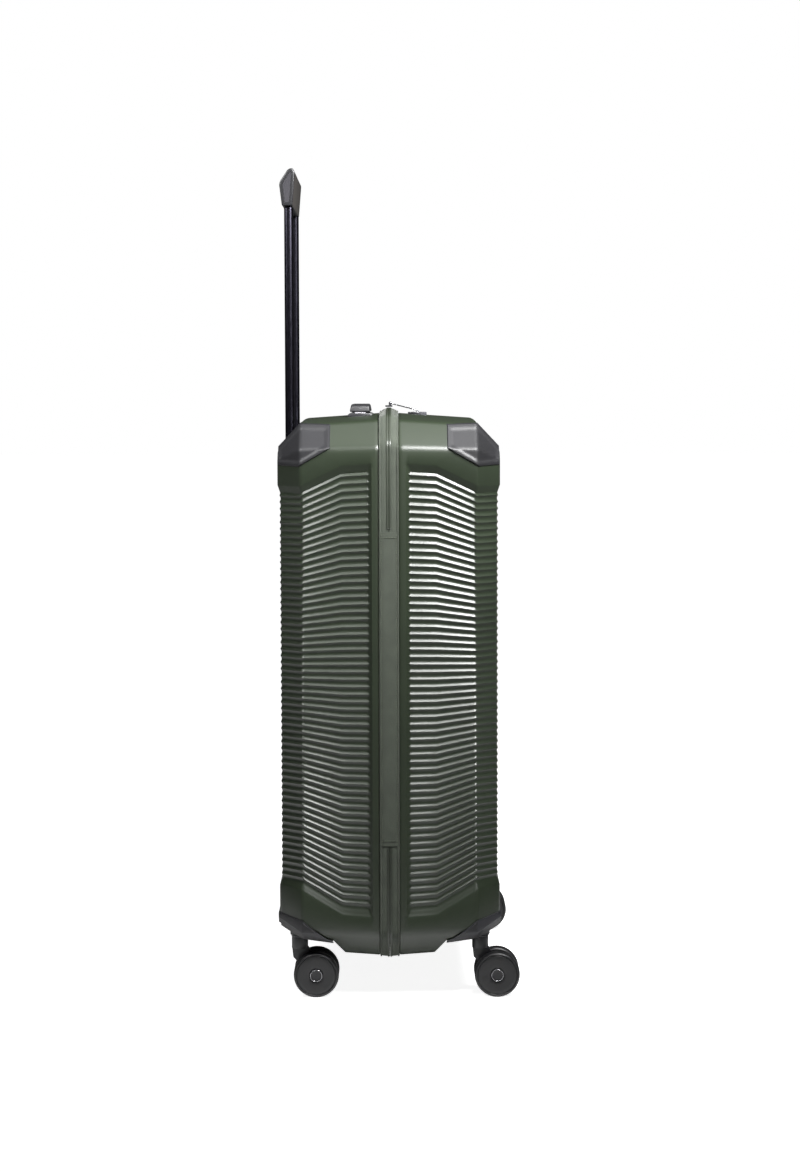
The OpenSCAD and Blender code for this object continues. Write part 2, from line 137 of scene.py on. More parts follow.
def mirrored(piece, name, axis):
    copy = piece.copy()
    copy.data = piece.data.copy()
    copy.name = name
    bpy.context.collection.objects.link(copy)
    for vertex in copy.data.vertices:
        vertex.co[axis] = -vertex.co[axis]
    copy.data.flip_normals()
    return copy


def moved(piece, name, shift):
    copy = piece.copy()
    copy.data = piece.data.copy()
    copy.name = name
    bpy.context.collection.objects.link(copy)
    copy.data.transform(Matrix.Translation(shift))
    return copy


def meshPiece(name, points, faces):
    mesh = bpy.data.meshes.new(name)
    mesh.from_pydata([tuple(p) for p in points], [], faces)
    mesh.validate()
    piece = bpy.data.objects.new(name, mesh)
    bpy.context.collection.objects.link(piece)
    return piece


def cut(piece, tools, operation="DIFFERENCE"):
    for tool in tools:
        modifier = piece.modifiers.new("cut", "BOOLEAN")
        modifier.operation = operation
        modifier.solver = "MANIFOLD"
        modifier.object = tool
        applyModifiers(piece)
    for tool in tools:
        bpy.data.objects.remove(tool)
    return piece


def block(name, low, high):
    bpy.ops.mesh.primitive_cube_add(size=1)
    piece = bpy.context.object
    piece.name = name
    piece.location = [(a + b) / 2 for a, b in zip(low, high)]
    piece.scale = [b - a for a, b in zip(low, high)]
    return settle(piece)


def prism(name, profile, x0, x1):           # profile in Y and Z, drawn out along X
    n = len(profile)
    points = [(x, y, z) for x in (x0, x1) for y, z in profile]
    faces = [list(range(n))[::-1], list(range(n, 2 * n))]
    faces += [[k, (k + 1) % n, n + (k + 1) % n, n + k] for k in range(n)]
    return outward(meshPiece(name, points, faces))


def linearColour(hexValue):
    parts = [int(hexValue[i:i + 2], 16) / 255 for i in (1, 3, 5)]
    linear = [c / 12.92 if c <= 0.04045 else ((c + 0.055) / 1.055) ** 2.4 for c in parts]
    return (*linear, 1.0)


def addNode(tree, kind, settings=None, links=None):
    node = tree.nodes.new(kind)
    for key, value in (settings or {}).items():
        if isinstance(key, str) and hasattr(node, key):
            setattr(node, key, value)
        else:
            node.inputs[key].default_value = value
    for key, source in (links or {}).items():
        tree.links.new(source, node.inputs[key])
    return node


def newMaterial(name, base, roughness, metallic=0.0, ior=None, coat=0.0, sheen=0.0):
    material = bpy.data.materials.new(name)
    material.use_nodes = True
    tree = material.node_tree
    tree.nodes.clear()
    output = addNode(tree, "ShaderNodeOutputMaterial")
    shader = addNode(tree, "ShaderNodeBsdfPrincipled", {
        "Base Color": linearColour(base), "Roughness": roughness, "Metallic": metallic})
    if ior:
        shader.inputs["IOR"].default_value = ior
    if coat:
        shader.inputs["Coat Weight"].default_value = coat
        shader.inputs["Coat Roughness"].default_value = 0.25
    if sheen:
        shader.inputs["Sheen Weight"].default_value = sheen
        shader.inputs["Sheen Roughness"].default_value = 0.5
    tree.links.new(shader.outputs[0], output.inputs["Surface"])
    coordinate = addNode(tree, "ShaderNodeTexCoord")
    return material, tree, shader, coordinate.outputs["Object"]


def wornSurface(tree, shader, where, base, lighter, grain, grainDepth, roughLow, roughHigh, edge=0.35):
    # broad tone changes, a fine moulded grain, and a painted highlight: convex edges painted lighter
    cloud = addNode(tree, "ShaderNodeTexNoise", {"Scale": 9.0, "Detail": 5.0, "Roughness": 0.6},
                    {"Vector": where})
    fine = addNode(tree, "ShaderNodeTexNoise", {"Scale": 1 / (grain * mm), "Detail": 3.0}, {"Vector": where})
    geometry = addNode(tree, "ShaderNodeNewGeometry")
    # painted highlight: where pointiness is high, on convex edges and ridges, the colour goes lighter by up
    # to edge
    rim = addNode(tree, "ShaderNodeValToRGB", None, {"Fac": geometry.outputs["Pointiness"]})
    rim.color_ramp.elements[0].position = 0.52
    rim.color_ramp.elements[1].position = 0.62
    rim.color_ramp.elements[1].color = (edge, edge, edge, 1)
    tone = addNode(tree, "ShaderNodeMapRange",
                   {"From Min": 0.3, "From Max": 0.7, "To Min": 0.0, "To Max": 0.35},
                   {"Value": cloud.outputs["Fac"]})
    amount = addNode(tree, "ShaderNodeMath", {"operation": "ADD", "use_clamp": True},
                     {0: tone.outputs["Result"], 1: rim.outputs["Color"]})
    colour = addNode(tree, "ShaderNodeMix", {"data_type": "RGBA"}, {"Factor": amount.outputs[0]})
    colour.inputs[6].default_value = linearColour(base)
    colour.inputs[7].default_value = linearColour(lighter)
    tree.links.new(colour.outputs[2], shader.inputs["Base Color"])
    rough = addNode(tree, "ShaderNodeMapRange",
                    {"From Min": 0.3, "From Max": 0.7, "To Min": roughLow, "To Max": roughHigh},
                    {"Value": fine.outputs["Fac"]})
    tree.links.new(rough.outputs["Result"], shader.inputs["Roughness"])
    bump = addNode(tree, "ShaderNodeBump", {"Strength": 0.35, "Distance": grainDepth * mm},
                   {"Height": fine.outputs["Fac"]})
    tree.links.new(bump.outputs["Normal"], shader.inputs["Normal"])
    return fine, bump


shellSettings = {
    "ribs": 58,
    "firstRib": 0.0305,                     # where the first and last crests lie in the field
    "lastRib": 0.9745,
    "recess": 3.3 * mm,                     # crests below the frame
    "cove": 2.3 * mm,                       # depth of the hollows between the crests
    "bevel": 12 * mm,                       # slopes at the field's top and bottom
    "fieldStart": 22.5 * mm,                # field's inner edge, from the zip plane
    "endSlope": 6.0 * mm,
    "kink": 63 * mm,
    "fieldBottom": (113 * mm, 115.6 * mm, 150 * mm),   # at the inner edge, the kink and the ridge
    "fieldTop": (720.4 * mm, 717.7 * mm, 690 * mm),
}


def fieldEdge(depth, heights):
    s = shellSettings
    return float(np.interp(depth, [s["fieldStart"], s["kink"], case["ridge"] + 2 * mm], heights))


def roundCorner(before, corner, after, length, steps):
    corner = np.array(corner)
    towards = np.array(before) - corner
    away = np.array(after) - corner
    p0 = corner + towards / np.linalg.norm(towards) * length
    p1 = corner + away / np.linalg.norm(away) * length
    return [(1 - s) ** 2 * p0 + 2 * s * (1 - s) * corner + s * s * p1 for s in np.linspace(0, 1, steps)]


def halfOutline(inset, rise, rows, low, high):
    # X and Z points of the -X half of the outline, from bottom middle to top middle
    w = case["halfWidth"] - inset
    c = case["cut"] - 0.586 * inset
    lo = case["bottom"] + inset
    hi = case["topEdge"] - inset + rise
    f = w - c
    length = max(0.3 * mm, case["cornerRound"] * 0.414 - 0.12 * max(inset, 0))
    tilt = (0.0, hi + case["crown"] * 2)
    points = [np.array((0.0, lo))]
    points += roundCorner((0, lo), (-f, lo), (-w, lo + c), length, 5)
    points += roundCorner((-f, lo), (-w, lo + c), (-w, hi), length, 5)
    points += [np.array((-w, low + (high - low) * t)) for t in rows]
    points += roundCorner((-w, lo), (-w, hi - c), (-f, hi), length, 5)
    points += roundCorner((-w, hi - c), (-f, hi), tilt, length, 5)
    start = f - length
    for s in np.linspace(0, 1, 7)[1:]:
        x = -start * (1 - s)
        points.append(np.array((x, hi + case["crown"] * (1 - (x / f) ** 2))))
    return points


def sectionColumns(offset):
    # inset and depth of each column from the rim to the flat face, with the edges rounded
    rim = case["bandHalf"]
    corner = (case["draft"], case["ridge"])
    face = (case["faceInset"], case["face"])
    points = [np.array((1.7 * mm, rim)), np.array((0.6 * mm, rim + 0.4 * mm)),
              np.array((0.1 * mm, rim + 1.6 * mm))]
    slope = case["draft"] / (case["ridge"] - rim)
    s = shellSettings["fieldStart"]
    for depth in (19 * mm, s, s + 1.5 * mm, s + 3 * mm, s + 4.5 * mm, s + 6 * mm, s + 8 * mm, 45 * mm,
                  63 * mm, 90 * mm):
        points.append(np.array((slope * (depth - rim), depth)))
    points += roundCorner((0, rim), corner, face, 4 * mm, 5)
    points.append((np.array(corner) + np.array(face)) / 2)
    points += roundCorner(corner, face, (case["halfWidth"], case["face"]), 5 * mm, 5)
    points = np.array(points)
    along = np.gradient(points, axis=0)
    along /= np.linalg.norm(along, axis=1)[:, None]
    normals = np.stack([along[:, 1], -along[:, 0]], axis=1)    # outward, as change of inset and depth
    normals = np.stack([-normals[:, 0], -normals[:, 1]], axis=1)
    moved = points + normals * offset
    if offset:
        moved[:3, 1] = rim - max(0.0, -offset)
    return moved, normals


def ribRows():
    # heights in the field, 0 to 1, dense enough for each hollow, and the pitch of the ribs
    s = shellSettings
    pitch = (s["lastRib"] - s["firstRib"]) / (s["ribs"] - 1)
    samples = (0, 0.07, 0.16, 0.28, 0.42, 0.58, 0.72, 0.84, 0.93)
    rows = list(np.linspace(0, s["firstRib"] - pitch * 0.1, 7))
    for rib in range(s["ribs"] - 1):
        rows += [s["firstRib"] + pitch * (rib + u) for u in samples]
    rows.append(s["lastRib"])
    rows += list(np.linspace(s["lastRib"] + pitch * 0.1, 1, 7))
    return rows, pitch


def ribDepth(t, pitch, height):
    s = shellSettings
    u = ((t - s["firstRib"]) / pitch) % 1.0
    hollow = 1 - (2 * u - 1) ** 2
    hollow = max(hollow, 0.12)
    floor = s["recess"] + s["cove"] * hollow
    deepest = s["recess"] + s["cove"]
    slopes = (t * height / s["bevel"], (1 - t) * height / s["bevel"])
    return min(floor, slopes[0] * deepest, slopes[1] * deepest)


def caseSolid(name, offset=0.0, ribbed=False):
    # closed solid of the back half's outside, moved outward by offset
    s = shellSettings
    columns, normals = sectionColumns(offset)
    rows, pitch = ribRows() if ribbed else ([0, 0.5, 1], 1)
    grid = []
    for (inset, depth), (nInset, nDepth) in zip(columns, normals):
        low = fieldEdge(depth, s["fieldBottom"])
        high = fieldEdge(depth, s["fieldTop"])
        outline = halfOutline(inset, 0, rows, low, high)
        column = [np.array((x, depth, z)) for x, z in outline]
        if ribbed and depth > s["fieldStart"] - 1e-6:
            start = 11
            limit = (depth - s["fieldStart"]) / s["endSlope"] * (s["recess"] + s["cove"])
            # the flat face is ribbed less deeply, clear of the trolley tubes behind it
            towardsFace = min(1.0, max(0.0,
                                       (depth - case["ridge"]) / (case["face"] - case["ridge"] - 1 * mm)))
            shallower = 1 - 0.27 * towardsFace
            for k, t in enumerate(rows):
                depthHere = min(ribDepth(t, pitch, high - low), limit) * shallower
                column[start + k] = column[start + k] - depthHere * np.array((nInset, nDepth, 0))
        grid.append(column)
    last = grid[-1]
    for g in (0.25, 0.5, 0.75, 1.0):
        grid.append([np.array((p[0] * (1 - g), p[1], p[2])) for p in last])
    grid = np.array(grid)
    nCol, nRow = grid.shape[:2]
    left = grid.reshape(-1, 3)
    right = left * np.array((-1, 1, 1))
    faces = []
    for i in range(nCol - 1):
        for j in range(nRow - 1):
            a, b = i * nRow + j, (i + 1) * nRow + j
            faces.append((a, b, b + 1, a + 1))
            shift = nCol * nRow
            faces.append((a + shift, a + 1 + shift, b + 1 + shift, b + shift))
    piece = meshPiece(name, np.vstack([left, right]), faces)
    bm = bmesh.new()
    bm.from_mesh(piece.data)
    bmesh.ops.remove_doubles(bm, verts=bm.verts, dist=2e-6)
    edges = [e for e in bm.edges if e.is_boundary]
    bmesh.ops.contextual_create(bm, geom=edges)
    bmesh.ops.dissolve_degenerate(bm, dist=1e-7, edges=bm.edges)
    bmesh.ops.recalc_face_normals(bm, faces=bm.faces)
    bm.to_mesh(piece.data)
    bm.free()
    return piece


def casterSteps(name, grow):
    # the stepped-up corners over the casters, as one tool for both sides
    y0, y1 = 60 * mm - grow, 170 * mm
    z0 = case["bottom"] + 4 * mm + grow
    profile = [(y0, 0), (y0, z0), (76 * mm - grow, 80 * mm + grow), (y1, 109.5 * mm + grow), (y1, 0)]
    one = prism(name, profile, -300 * mm, -150 * mm + grow)
    return [one, mirrored(one, name + "2", 0)]


print("shells")
backShell = caseSolid("back_shell_ribbed", 0, True)
cavity = caseSolid("cavity", -7.6 * mm)
cut(cavity, casterSteps("step", case["wall"]))
cut(backShell, casterSteps("step", 0))
cut(backShell, [cavity])
bossHoles = []
for side in (-1, 1):
    bpy.ops.mesh.primitive_cylinder_add(vertices=48, radius=13.05 * mm, depth=80 * mm,
                                        location=(side * 212 * mm, 122 * mm, 90 * mm))
    bossHoles.append(settle(bpy.context.object))
cut(backShell, bossHoles)
print("shell faces", len(backShell.data.polygons))
frontShell = mirrored(backShell, "front_shell_ribbed", 1)


def polycarbonate():
    # vacuum-formed polycarbonate sheet, satin: even olive green, very fine leather grain, soft broad gloss
    material, tree, shader, where = newMaterial("vacuum_formed_polycarbonate_satin", "#1f261b", 0.36,
                                                ior=1.58)
    # convex edges and ridges painted lighter, by the last value: a painted highlight
    wornSurface(tree, shader, where, "#1e251a", "#2a3324", 0.45, 0.03, 0.33, 0.43, 0.4)
    return material


def mouldedBlack(name="injection_moulded_abs_black", base="#131315", lighter="#222226", rough=(0.32, 0.46)):
    # spark-eroded ABS: near black, fine even grain, rims painted a little lighter as a painted highlight
    material, tree, shader, where = newMaterial(name, base, 0.4, ior=1.54)
    wornSurface(tree, shader, where, base, lighter, 0.6, 0.04, rough[0], rough[1], 0.6)
    return material


def bandCloth():
    # plain-woven polyester, grey green: threads 0.9 mm apart, drawn coarser than real so that they show
    material, tree, shader, where = newMaterial("plain_woven_polyester_band", "#4a5144", 0.85, sheen=0.1)
    across = addNode(tree, "ShaderNodeTexWave", {"wave_type": "BANDS", "bands_direction": "Y", "Scale": 350.0,
                                                 "Distortion": 0.6, "Detail": 1.0, "Detail Scale": 8.0},
                     {"Vector": where})
    along = addNode(tree, "ShaderNodeTexWave", {"wave_type": "BANDS", "bands_direction": "Z", "Scale": 350.0,
                                                "Distortion": 0.6, "Detail": 1.0, "Detail Scale": 8.0},
                    {"Vector": where})
    weave = addNode(tree, "ShaderNodeMath", {"operation": "MULTIPLY"},
                    {0: across.outputs["Fac"], 1: along.outputs["Fac"]})
    cloud = addNode(tree, "ShaderNodeTexNoise", {"Scale": 60.0, "Detail": 6.0}, {"Vector": where})
    tone = addNode(tree, "ShaderNodeMath", {"operation": "MULTIPLY_ADD", 2: 0.1},
                   {0: cloud.outputs["Fac"], 1: weave.outputs[0]})
    shades = addNode(tree, "ShaderNodeValToRGB", None, {"Fac": tone.outputs[0]})
    shades.color_ramp.elements[0].color = linearColour("#20251e")
    shades.color_ramp.elements[1].color = linearColour("#565d4f")
    tree.links.new(shades.outputs["Color"], shader.inputs["Base Color"])
    bump = addNode(tree, "ShaderNodeBump", {"Strength": 0.5, "Distance": 0.3 * mm},
                   {"Height": weave.outputs[0]})
    tree.links.new(bump.outputs["Normal"], shader.inputs["Normal"])
    return material


def wovenCloth(name, dark, light, pitch):
    # dull woven cloth; threads pitch mm apart
    material, tree, shader, where = newMaterial(name, dark, 0.9, sheen=0.2)
    turned = addNode(tree, "ShaderNodeMapping", {"Rotation": (0, 0.785, 0)}, {"Vector": where})
    checks = addNode(tree, "ShaderNodeTexWave", {"Scale": 0.314 / (pitch * mm), "Distortion": 0.4},
                     {"Vector": turned.outputs["Vector"]})
    cloud = addNode(tree, "ShaderNodeTexNoise", {"Scale": 30.0, "Detail": 5.0}, {"Vector": where})
    mixed = addNode(tree, "ShaderNodeMath", {"operation": "MULTIPLY"},
                    {0: checks.outputs["Fac"], 1: cloud.outputs["Fac"]})
    shades = addNode(tree, "ShaderNodeValToRGB", None, {"Fac": mixed.outputs[0]})
    shades.color_ramp.elements[0].color = linearColour(dark)
    shades.color_ramp.elements[1].color = linearColour(light)
    tree.links.new(shades.outputs["Color"], shader.inputs["Base Color"])
    bump = addNode(tree, "ShaderNodeBump", {"Strength": 0.4, "Distance": 0.2 * mm},
                   {"Height": checks.outputs["Fac"]})
    tree.links.new(bump.outputs["Normal"], shader.inputs["Normal"])
    return material


def metal(name, base, rough, grain):
    # metal with fine drawn or polishing marks
    material, tree, shader, where = newMaterial(name, base, rough, metallic=1.0)
    stretched = addNode(tree, "ShaderNodeMapping", {"Scale": (1, 1, 0.04)}, {"Vector": where})
    marks = addNode(tree, "ShaderNodeTexNoise", {"Scale": 1 / (grain * mm), "Detail": 4.0},
                    {"Vector": stretched.outputs["Vector"]})
    ranged = addNode(tree, "ShaderNodeMapRange",
                     {"From Min": 0.3, "From Max": 0.7, "To Min": rough * 0.75, "To Max": rough * 1.3},
                     {"Value": marks.outputs["Fac"]})
    tree.links.new(ranged.outputs["Result"], shader.inputs["Roughness"])
    bump = addNode(tree, "ShaderNodeBump", {"Strength": 0.12, "Distance": 0.05 * mm},
                   {"Height": marks.outputs["Fac"]})
    tree.links.new(bump.outputs["Normal"], shader.inputs["Normal"])
    return material


print("materials")
finish = {
    "shell": polycarbonate(),
    # the guard's rims painted lighter, towards #26262b: a painted highlight on the bevels
    "guard": mouldedBlack("injection_moulded_abs_guard", "#0d0d0f", "#26262b", (0.46, 0.58)),
    "black": mouldedBlack(),
    "tyre": mouldedBlack("cast_polyurethane_tyre", "#141415", "#212123", (0.38, 0.52)),
    "band": bandCloth(),
    "lining": wovenCloth("twill_lining_cloth", "#303033", "#4a4a50", 0.8),
    "mesh": wovenCloth("warp_knit_mesh", "#161618", "#3a3a3e", 2.2),
    "webbing": wovenCloth("woven_strap_webbing", "#17171a", "#35353a", 1.4),
    "coil": mouldedBlack("extruded_nylon_coil", "#161a14", "#343a2f", (0.35, 0.5)),
    "anodised": metal("anodised_aluminium_black", "#2a2930", 0.3, 0.5),
    "aluminium": metal("extruded_aluminium_plain", "#b9babd", 0.35, 0.6),
    "bright": metal("die_cast_zinc_chromed", "#b9b9bd", 0.16, 0.8),
    "darkZinc": metal("die_cast_zinc_blackened", "#3a3a3d", 0.34, 0.5),
    "lightPlastic": mouldedBlack("moulded_abs_light_grey", "#98969c", "#b4b2b8", (0.35, 0.5)),
    "softBlack": mouldedBlack("soft_touch_elastomer_black", "#141416", "#222225", (0.5, 0.62)),
    "softGrey": mouldedBlack("soft_touch_elastomer_warm_grey", "#33302e", "#45423f", (0.5, 0.62)),
    "gripPanel": mouldedBlack("moulded_abs_mid_grey", "#2c2b2f", "#3f3e43", (0.3, 0.42)),
    "thread": wovenCloth("twisted_polyester_thread", "#3a4034", "#6a705f", 0.6),
    "greyPlastic": mouldedBlack("moulded_polypropylene_grey", "#4a4a4c", "#5e5e61", (0.45, 0.6)),
}


def floorPaper():
    # matt seamless paper: off white, faint fibre
    material, tree, shader, where = newMaterial("matt_background_paper", "#f4f4f4", 0.9)
    wornSurface(tree, shader, where, "#f0f0f0", "#fbfbfb", 1.5, 0.02, 0.85, 0.95, 0.0)
    path = addNode(tree, "ShaderNodeLightPath")
    glow = addNode(tree, "ShaderNodeMath", {"operation": "MULTIPLY", 1: 0.9},
                   {0: path.outputs["Is Camera Ray"]})
    shader.inputs["Emission Color"].default_value = (1, 1, 1, 1)
    tree.links.new(glow.outputs[0], shader.inputs["Emission Strength"])
    return material


finish["floor"] = floorPaper()


def dress(piece, material, body, slot, *nodes):
    piece.data.materials.clear()
    piece.data.materials.append(material)
    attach(piece, body)
    if nodes:
        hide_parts(*nodes)
    return piece


def refined(node, width, segments=2, angle=20, smoothAngle=40):
    # a copy of a CAD node with its edges rounded
    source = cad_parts[node]
    piece = source.copy()
    piece.data = source.data.copy()
    piece.name = node + "_finished"
    bpy.context.collection.objects.link(piece)
    piece.parent = None
    activate(piece)
    bpy.ops.object.mode_set(mode="EDIT")
    bpy.ops.mesh.select_all(action="SELECT")
    bpy.ops.mesh.remove_doubles(threshold=5e-6)
    bpy.ops.mesh.dissolve_limited(angle_limit=math.radians(2))
    bpy.ops.object.mode_set(mode="OBJECT")
    for edge in piece.data.edges:
        edge.use_edge_sharp = False
    bevelled(piece, width, segments, angle)
    smooth(piece, smoothAngle)
    return piece


for half, shell, node in (("back_half", backShell, "back_shell"), ("front_half", frontShell, "front_shell")):
    smooth(shell, 42)
    dress(shell, finish["shell"], half, "shell", node)


def surfaceX(depth, z, soft=2.5 * mm):
    # half width of the case at a depth and height, with its edges softened
    inset = case["draft"] * (depth - case["bandHalf"]) / (case["ridge"] - case["bandHalf"])
    steep = case["draft"] + case["chamferWide"] * (depth - case["ridge"]) / case["chamferDeep"]
    inset = softMax(inset, steep, soft)
    flat = case["halfWidth"] - inset
    c = case["cut"] - 0.586 * inset
    upper = flat - c + (case["topEdge"] - inset) - z
    lower = flat - c + z - (case["bottom"] + inset)
    return softMin(softMin(flat, upper, soft), lower, soft)


def softMax(a, b, soft):
    h = max(soft - abs(a - b), 0) / soft
    return max(a, b) + h * h * soft / 4


def softMin(a, b, soft):
    return -softMax(-a, -b, soft)


guardSettings = {
    "proud": 2.3 * mm,
    "rimWidth": 3.2 * mm,
    "hollow": 1.7 * mm,
    "slopeWidth": 5 * mm,
    "thickness": 1.4 * mm,
}


def guardPatch(name, depths, lowLine, highLine, columns=44, rows=40, hollow=True):
    # a shield over one corner: a raised rim round a hollow, laid over the case's surface
    g = guardSettings
    grid = []
    for depth in np.linspace(depths[0], depths[-1], columns):
        low = float(np.interp(depth, [p[0] for p in lowLine], [p[1] for p in lowLine]))
        high = float(np.interp(depth, [p[0] for p in highLine], [p[1] for p in highLine]))
        for z in low + (high - low) * (0.5 - 0.5 * np.cos(np.linspace(0, math.pi, rows))):
            near = min(depth - depths[0], (high - z) * 0.8, (z - low) * 0.9, depths[-1] - depth + 3 * mm)
            lift = g["proud"] * min(1, near / (0.9 * mm)) - 0.8 * mm * (near < 1e-6)
            if hollow and near > g["rimWidth"]:
                t = min(1, (near - g["rimWidth"]) / g["slopeWidth"])
                lift -= g["hollow"] * (3 * t * t - 2 * t ** 3)
            grid.append((-(surfaceX(depth, z) + lift), depth, z))
    faces = []
    for i in range(columns - 1):
        for j in range(rows - 1):
            a, b = i * rows + j, (i + 1) * rows + j
            faces.append((a, a + 1, b + 1, b))
    piece = meshPiece(name, grid, faces)
    solid = piece.modifiers.new("thickness", "SOLIDIFY")
    solid.thickness = g["thickness"]
    solid.offset = 0 - 1
    applyModifiers(piece)
    outward(piece)
    smooth(piece, 50)
    return piece


print("guards")
top = case["topEdge"]
upper = guardPatch("upper_guard", (77 * mm, 147.5 * mm),
                   [(77 * mm, top - 37.5 * mm), (119.5 * mm, top - 62 * mm), (148 * mm, top - 60.5 * mm)],
                   [(77 * mm, top - 6 * mm), (118 * mm, top - 4.5 * mm), (148 * mm, top - 36 * mm)])
lower = guardPatch("lower_guard", (76 * mm, 147.5 * mm),
                   [(76 * mm, 75.2 * mm), (108 * mm, 80 * mm), (131 * mm, 86 * mm), (148 * mm, 93 * mm)],
                   [(76 * mm, 77.2 * mm), (120 * mm, 109.5 * mm), (148 * mm, 115 * mm)], hollow=False)
for patch, node, word in ((upper, "top_guards", "upper_guard"), (lower, None, "lower_guard")):
    farSide = mirrored(patch, word + "_far", 0)
    backPair = joined([patch, farSide], word + "s_back")
    frontPair = mirrored(backPair, word + "s_front", 1)
    for pair, half in ((backPair, "back"), (frontPair, "front")):
        nodes = [f"{node}_{half}"] if node else []
        dress(pair, finish["guard"], half + "_half", "guard_black", *nodes)
for half in ("back", "front"):
    dress(refined(f"bottom_guards_{half}", 1.0 * mm), finish["guard"], half + "_half", "guard_black",
          f"bottom_guards_{half}")


def loopPoints(depth, out, rise, count):
    # evenly spaced points round the whole outline, out from the rim line
    rows = np.linspace(0, 1, 40)
    half = halfOutline(-out, rise, rows, 105 * mm, 725 * mm)
    points = np.array([(x, z) for x, z in half] + [(-x, z) for x, z in half[::-1]][1:-1])
    closed = np.vstack([points, points[:1]])
    lengths = np.concatenate([[0], np.cumsum(np.linalg.norm(np.diff(closed, axis=0), axis=1))])
    spots = np.linspace(0, lengths[-1], count, endpoint=False)
    x = np.interp(spots, lengths, closed[:, 0])
    z = np.interp(spots, lengths, closed[:, 1])
    return np.stack([x, np.full(count, depth), z], axis=1), lengths[-1]


def sweptRing(name, profile, count, wave=None, closedProfile=False, skip=None):
    # profile is (depth, out, rise) points; wave lifts alternate stations
    loops = []
    for depth, out, rise in profile:
        points, length = loopPoints(depth, out, rise, count)
        if wave:
            other, length = loopPoints(depth, out - wave, rise, count)
            points[1::2] = other[1::2]
        loops.append(points)
    n = len(profile)
    faces = []
    for i in range(n if closedProfile else n - 1):
        for j in range(count):
            a, b = i * count, ((i + 1) % n) * count
            k = (j + 1) % count
            if skip and skip(loops[i][j]):
                continue
            faces.append((a + j, b + j, b + k, a + k))
    piece = meshPiece(name, np.vstack(loops), faces)
    return outward(piece)


bandSettings = {
    "gap": 0.6 * mm,
    "rise": 5.2 * mm,                       # how far its top arches over the rims
    "side": 1.5 * mm,
    "thickness": 1.6 * mm,
    "pipingRadius": 1.25 * mm,
    "stitch": 10 * mm,
}
hingeLow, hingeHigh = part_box("hinge_cover_back")


def underHinge(point):
    return point[0] < -0.2 and hingeLow[2] - 4 * mm < point[2] < hingeHigh[2] + 4 * mm


print("zip band")
b = bandSettings
rim = case["bandHalf"]
profile = []
for depth in (0.6, 1.6, 3.2, 5.0, 7.0, 9.0, 10.6, 11.8, 12.6, 13.0):
    arch = (1 - (depth * mm / rim) ** 2) ** 0.7 if depth * mm < rim else 0
    side = b["side"] * (1 - (depth * mm / rim) ** 4) - (1.2 * mm if depth > 12.8 else 0)
    profile.append((depth * mm, side, b["rise"] * arch))
backBand = sweptRing("zip_band_back", profile, 480)
solid = backBand.modifiers.new("thickness", "SOLIDIFY")
solid.thickness = b["thickness"]
solid.offset = -1
applyModifiers(backBand)
smooth(backBand, 50)
piping = []
for k in range(8):
    angle = k * math.pi / 4
    piping.append((rim - 1.2 * mm + b["pipingRadius"] * math.cos(angle),
                   0.9 * mm + b["pipingRadius"] * math.sin(angle), 1.2 * mm))
backPiping = smooth(sweptRing("band_piping_back", piping, 480, closedProfile=True), 60)
coil = []
for k in range(6):
    angle = k * math.pi / 3
    coil.append((1.75 * mm + 1.6 * mm * math.cos(angle), b["side"] + 0.45 * mm + 0.75 * mm * math.sin(angle),
                 b["rise"]))
backCoil = smooth(sweptRing("zip_coil_back_teeth", coil, 1500, wave=0.5 * mm, closedProfile=True,
                            skip=underHinge), 60)
frontBand = mirrored(backBand, "zip_band_front", 1)
frontPiping = mirrored(backPiping, "band_piping_front", 1)
frontCoil = mirrored(backCoil, "zip_coil_front_teeth", 1)
for half, band, pipe, teeth in (("back", backBand, backPiping, backCoil),
                                ("front", frontBand, frontPiping, frontCoil)):
    dress(band, finish["band"], half + "_half", "zip_cloth", f"zip_tape_{half}")
    dress(pipe, finish["band"], half + "_half", "zip_cloth")
    dress(teeth, finish["coil"], half + "_half", "zip_coil", f"zip_coil_{half}")


def clothStrip(name, x, halfWide, low, high, wave, rows=160, columns=9):
    # a narrow strip standing in Y and Z, crowned outwards, its long edges turned under
    points, faces = [], []
    for i, z in enumerate(np.linspace(low, high, rows)):
        for j, across in enumerate(np.linspace(-1, 1, columns)):
            crownOut = 1.1 * mm * (1 - across ** 4) + wave * math.sin(z / (4.1 * mm)) * (1 - abs(across)) ** 2
            points.append((x - crownOut, across * halfWide, z))
    for i in range(rows - 1):
        for j in range(columns - 1):
            a = i * columns + j
            faces.append((a, a + 1, a + columns + 1, a + columns))
    piece = meshPiece(name, points, faces)
    outward(piece)
    solid = piece.modifiers.new("thickness", "SOLIDIFY")
    solid.thickness = 0.8 * mm
    solid.offset = -1
    applyModifiers(piece)
    outward(piece)
    return smooth(piece, 50)


print("hinge cover")
hingeFace = hingeHigh[0]                                # its inner face lies on the band
hinge = {"half": 11.4 * mm, "hem": 7 * mm, "stitch": 3.4 * mm}
cover = clothStrip("hinge_cover_cloth", hingeFace, hinge["half"], hingeLow[2], hingeHigh[2], 0.12 * mm)
cover.data.materials.append(finish["band"])
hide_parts("hinge_cover_back", "hinge_cover_front")


def stitchRow(name, spots, size):
    # short raised stitches, one box each
    points, faces = [], []
    half = np.array(size) / 2
    for spot in spots:
        start = len(points)
        for sx in (-1, 1):
            for sy in (-1, 1):
                for sz in (-1, 1):
                    points.append(tuple(np.array(spot) + half * np.array((sx, sy, sz))))
        for f in ((0, 1, 3, 2), (4, 6, 7, 5), (0, 4, 5, 1), (2, 3, 7, 6), (0, 2, 6, 4), (1, 5, 7, 3)):
            faces.append(tuple(start + k for k in f))
    return meshPiece(name, points, faces)


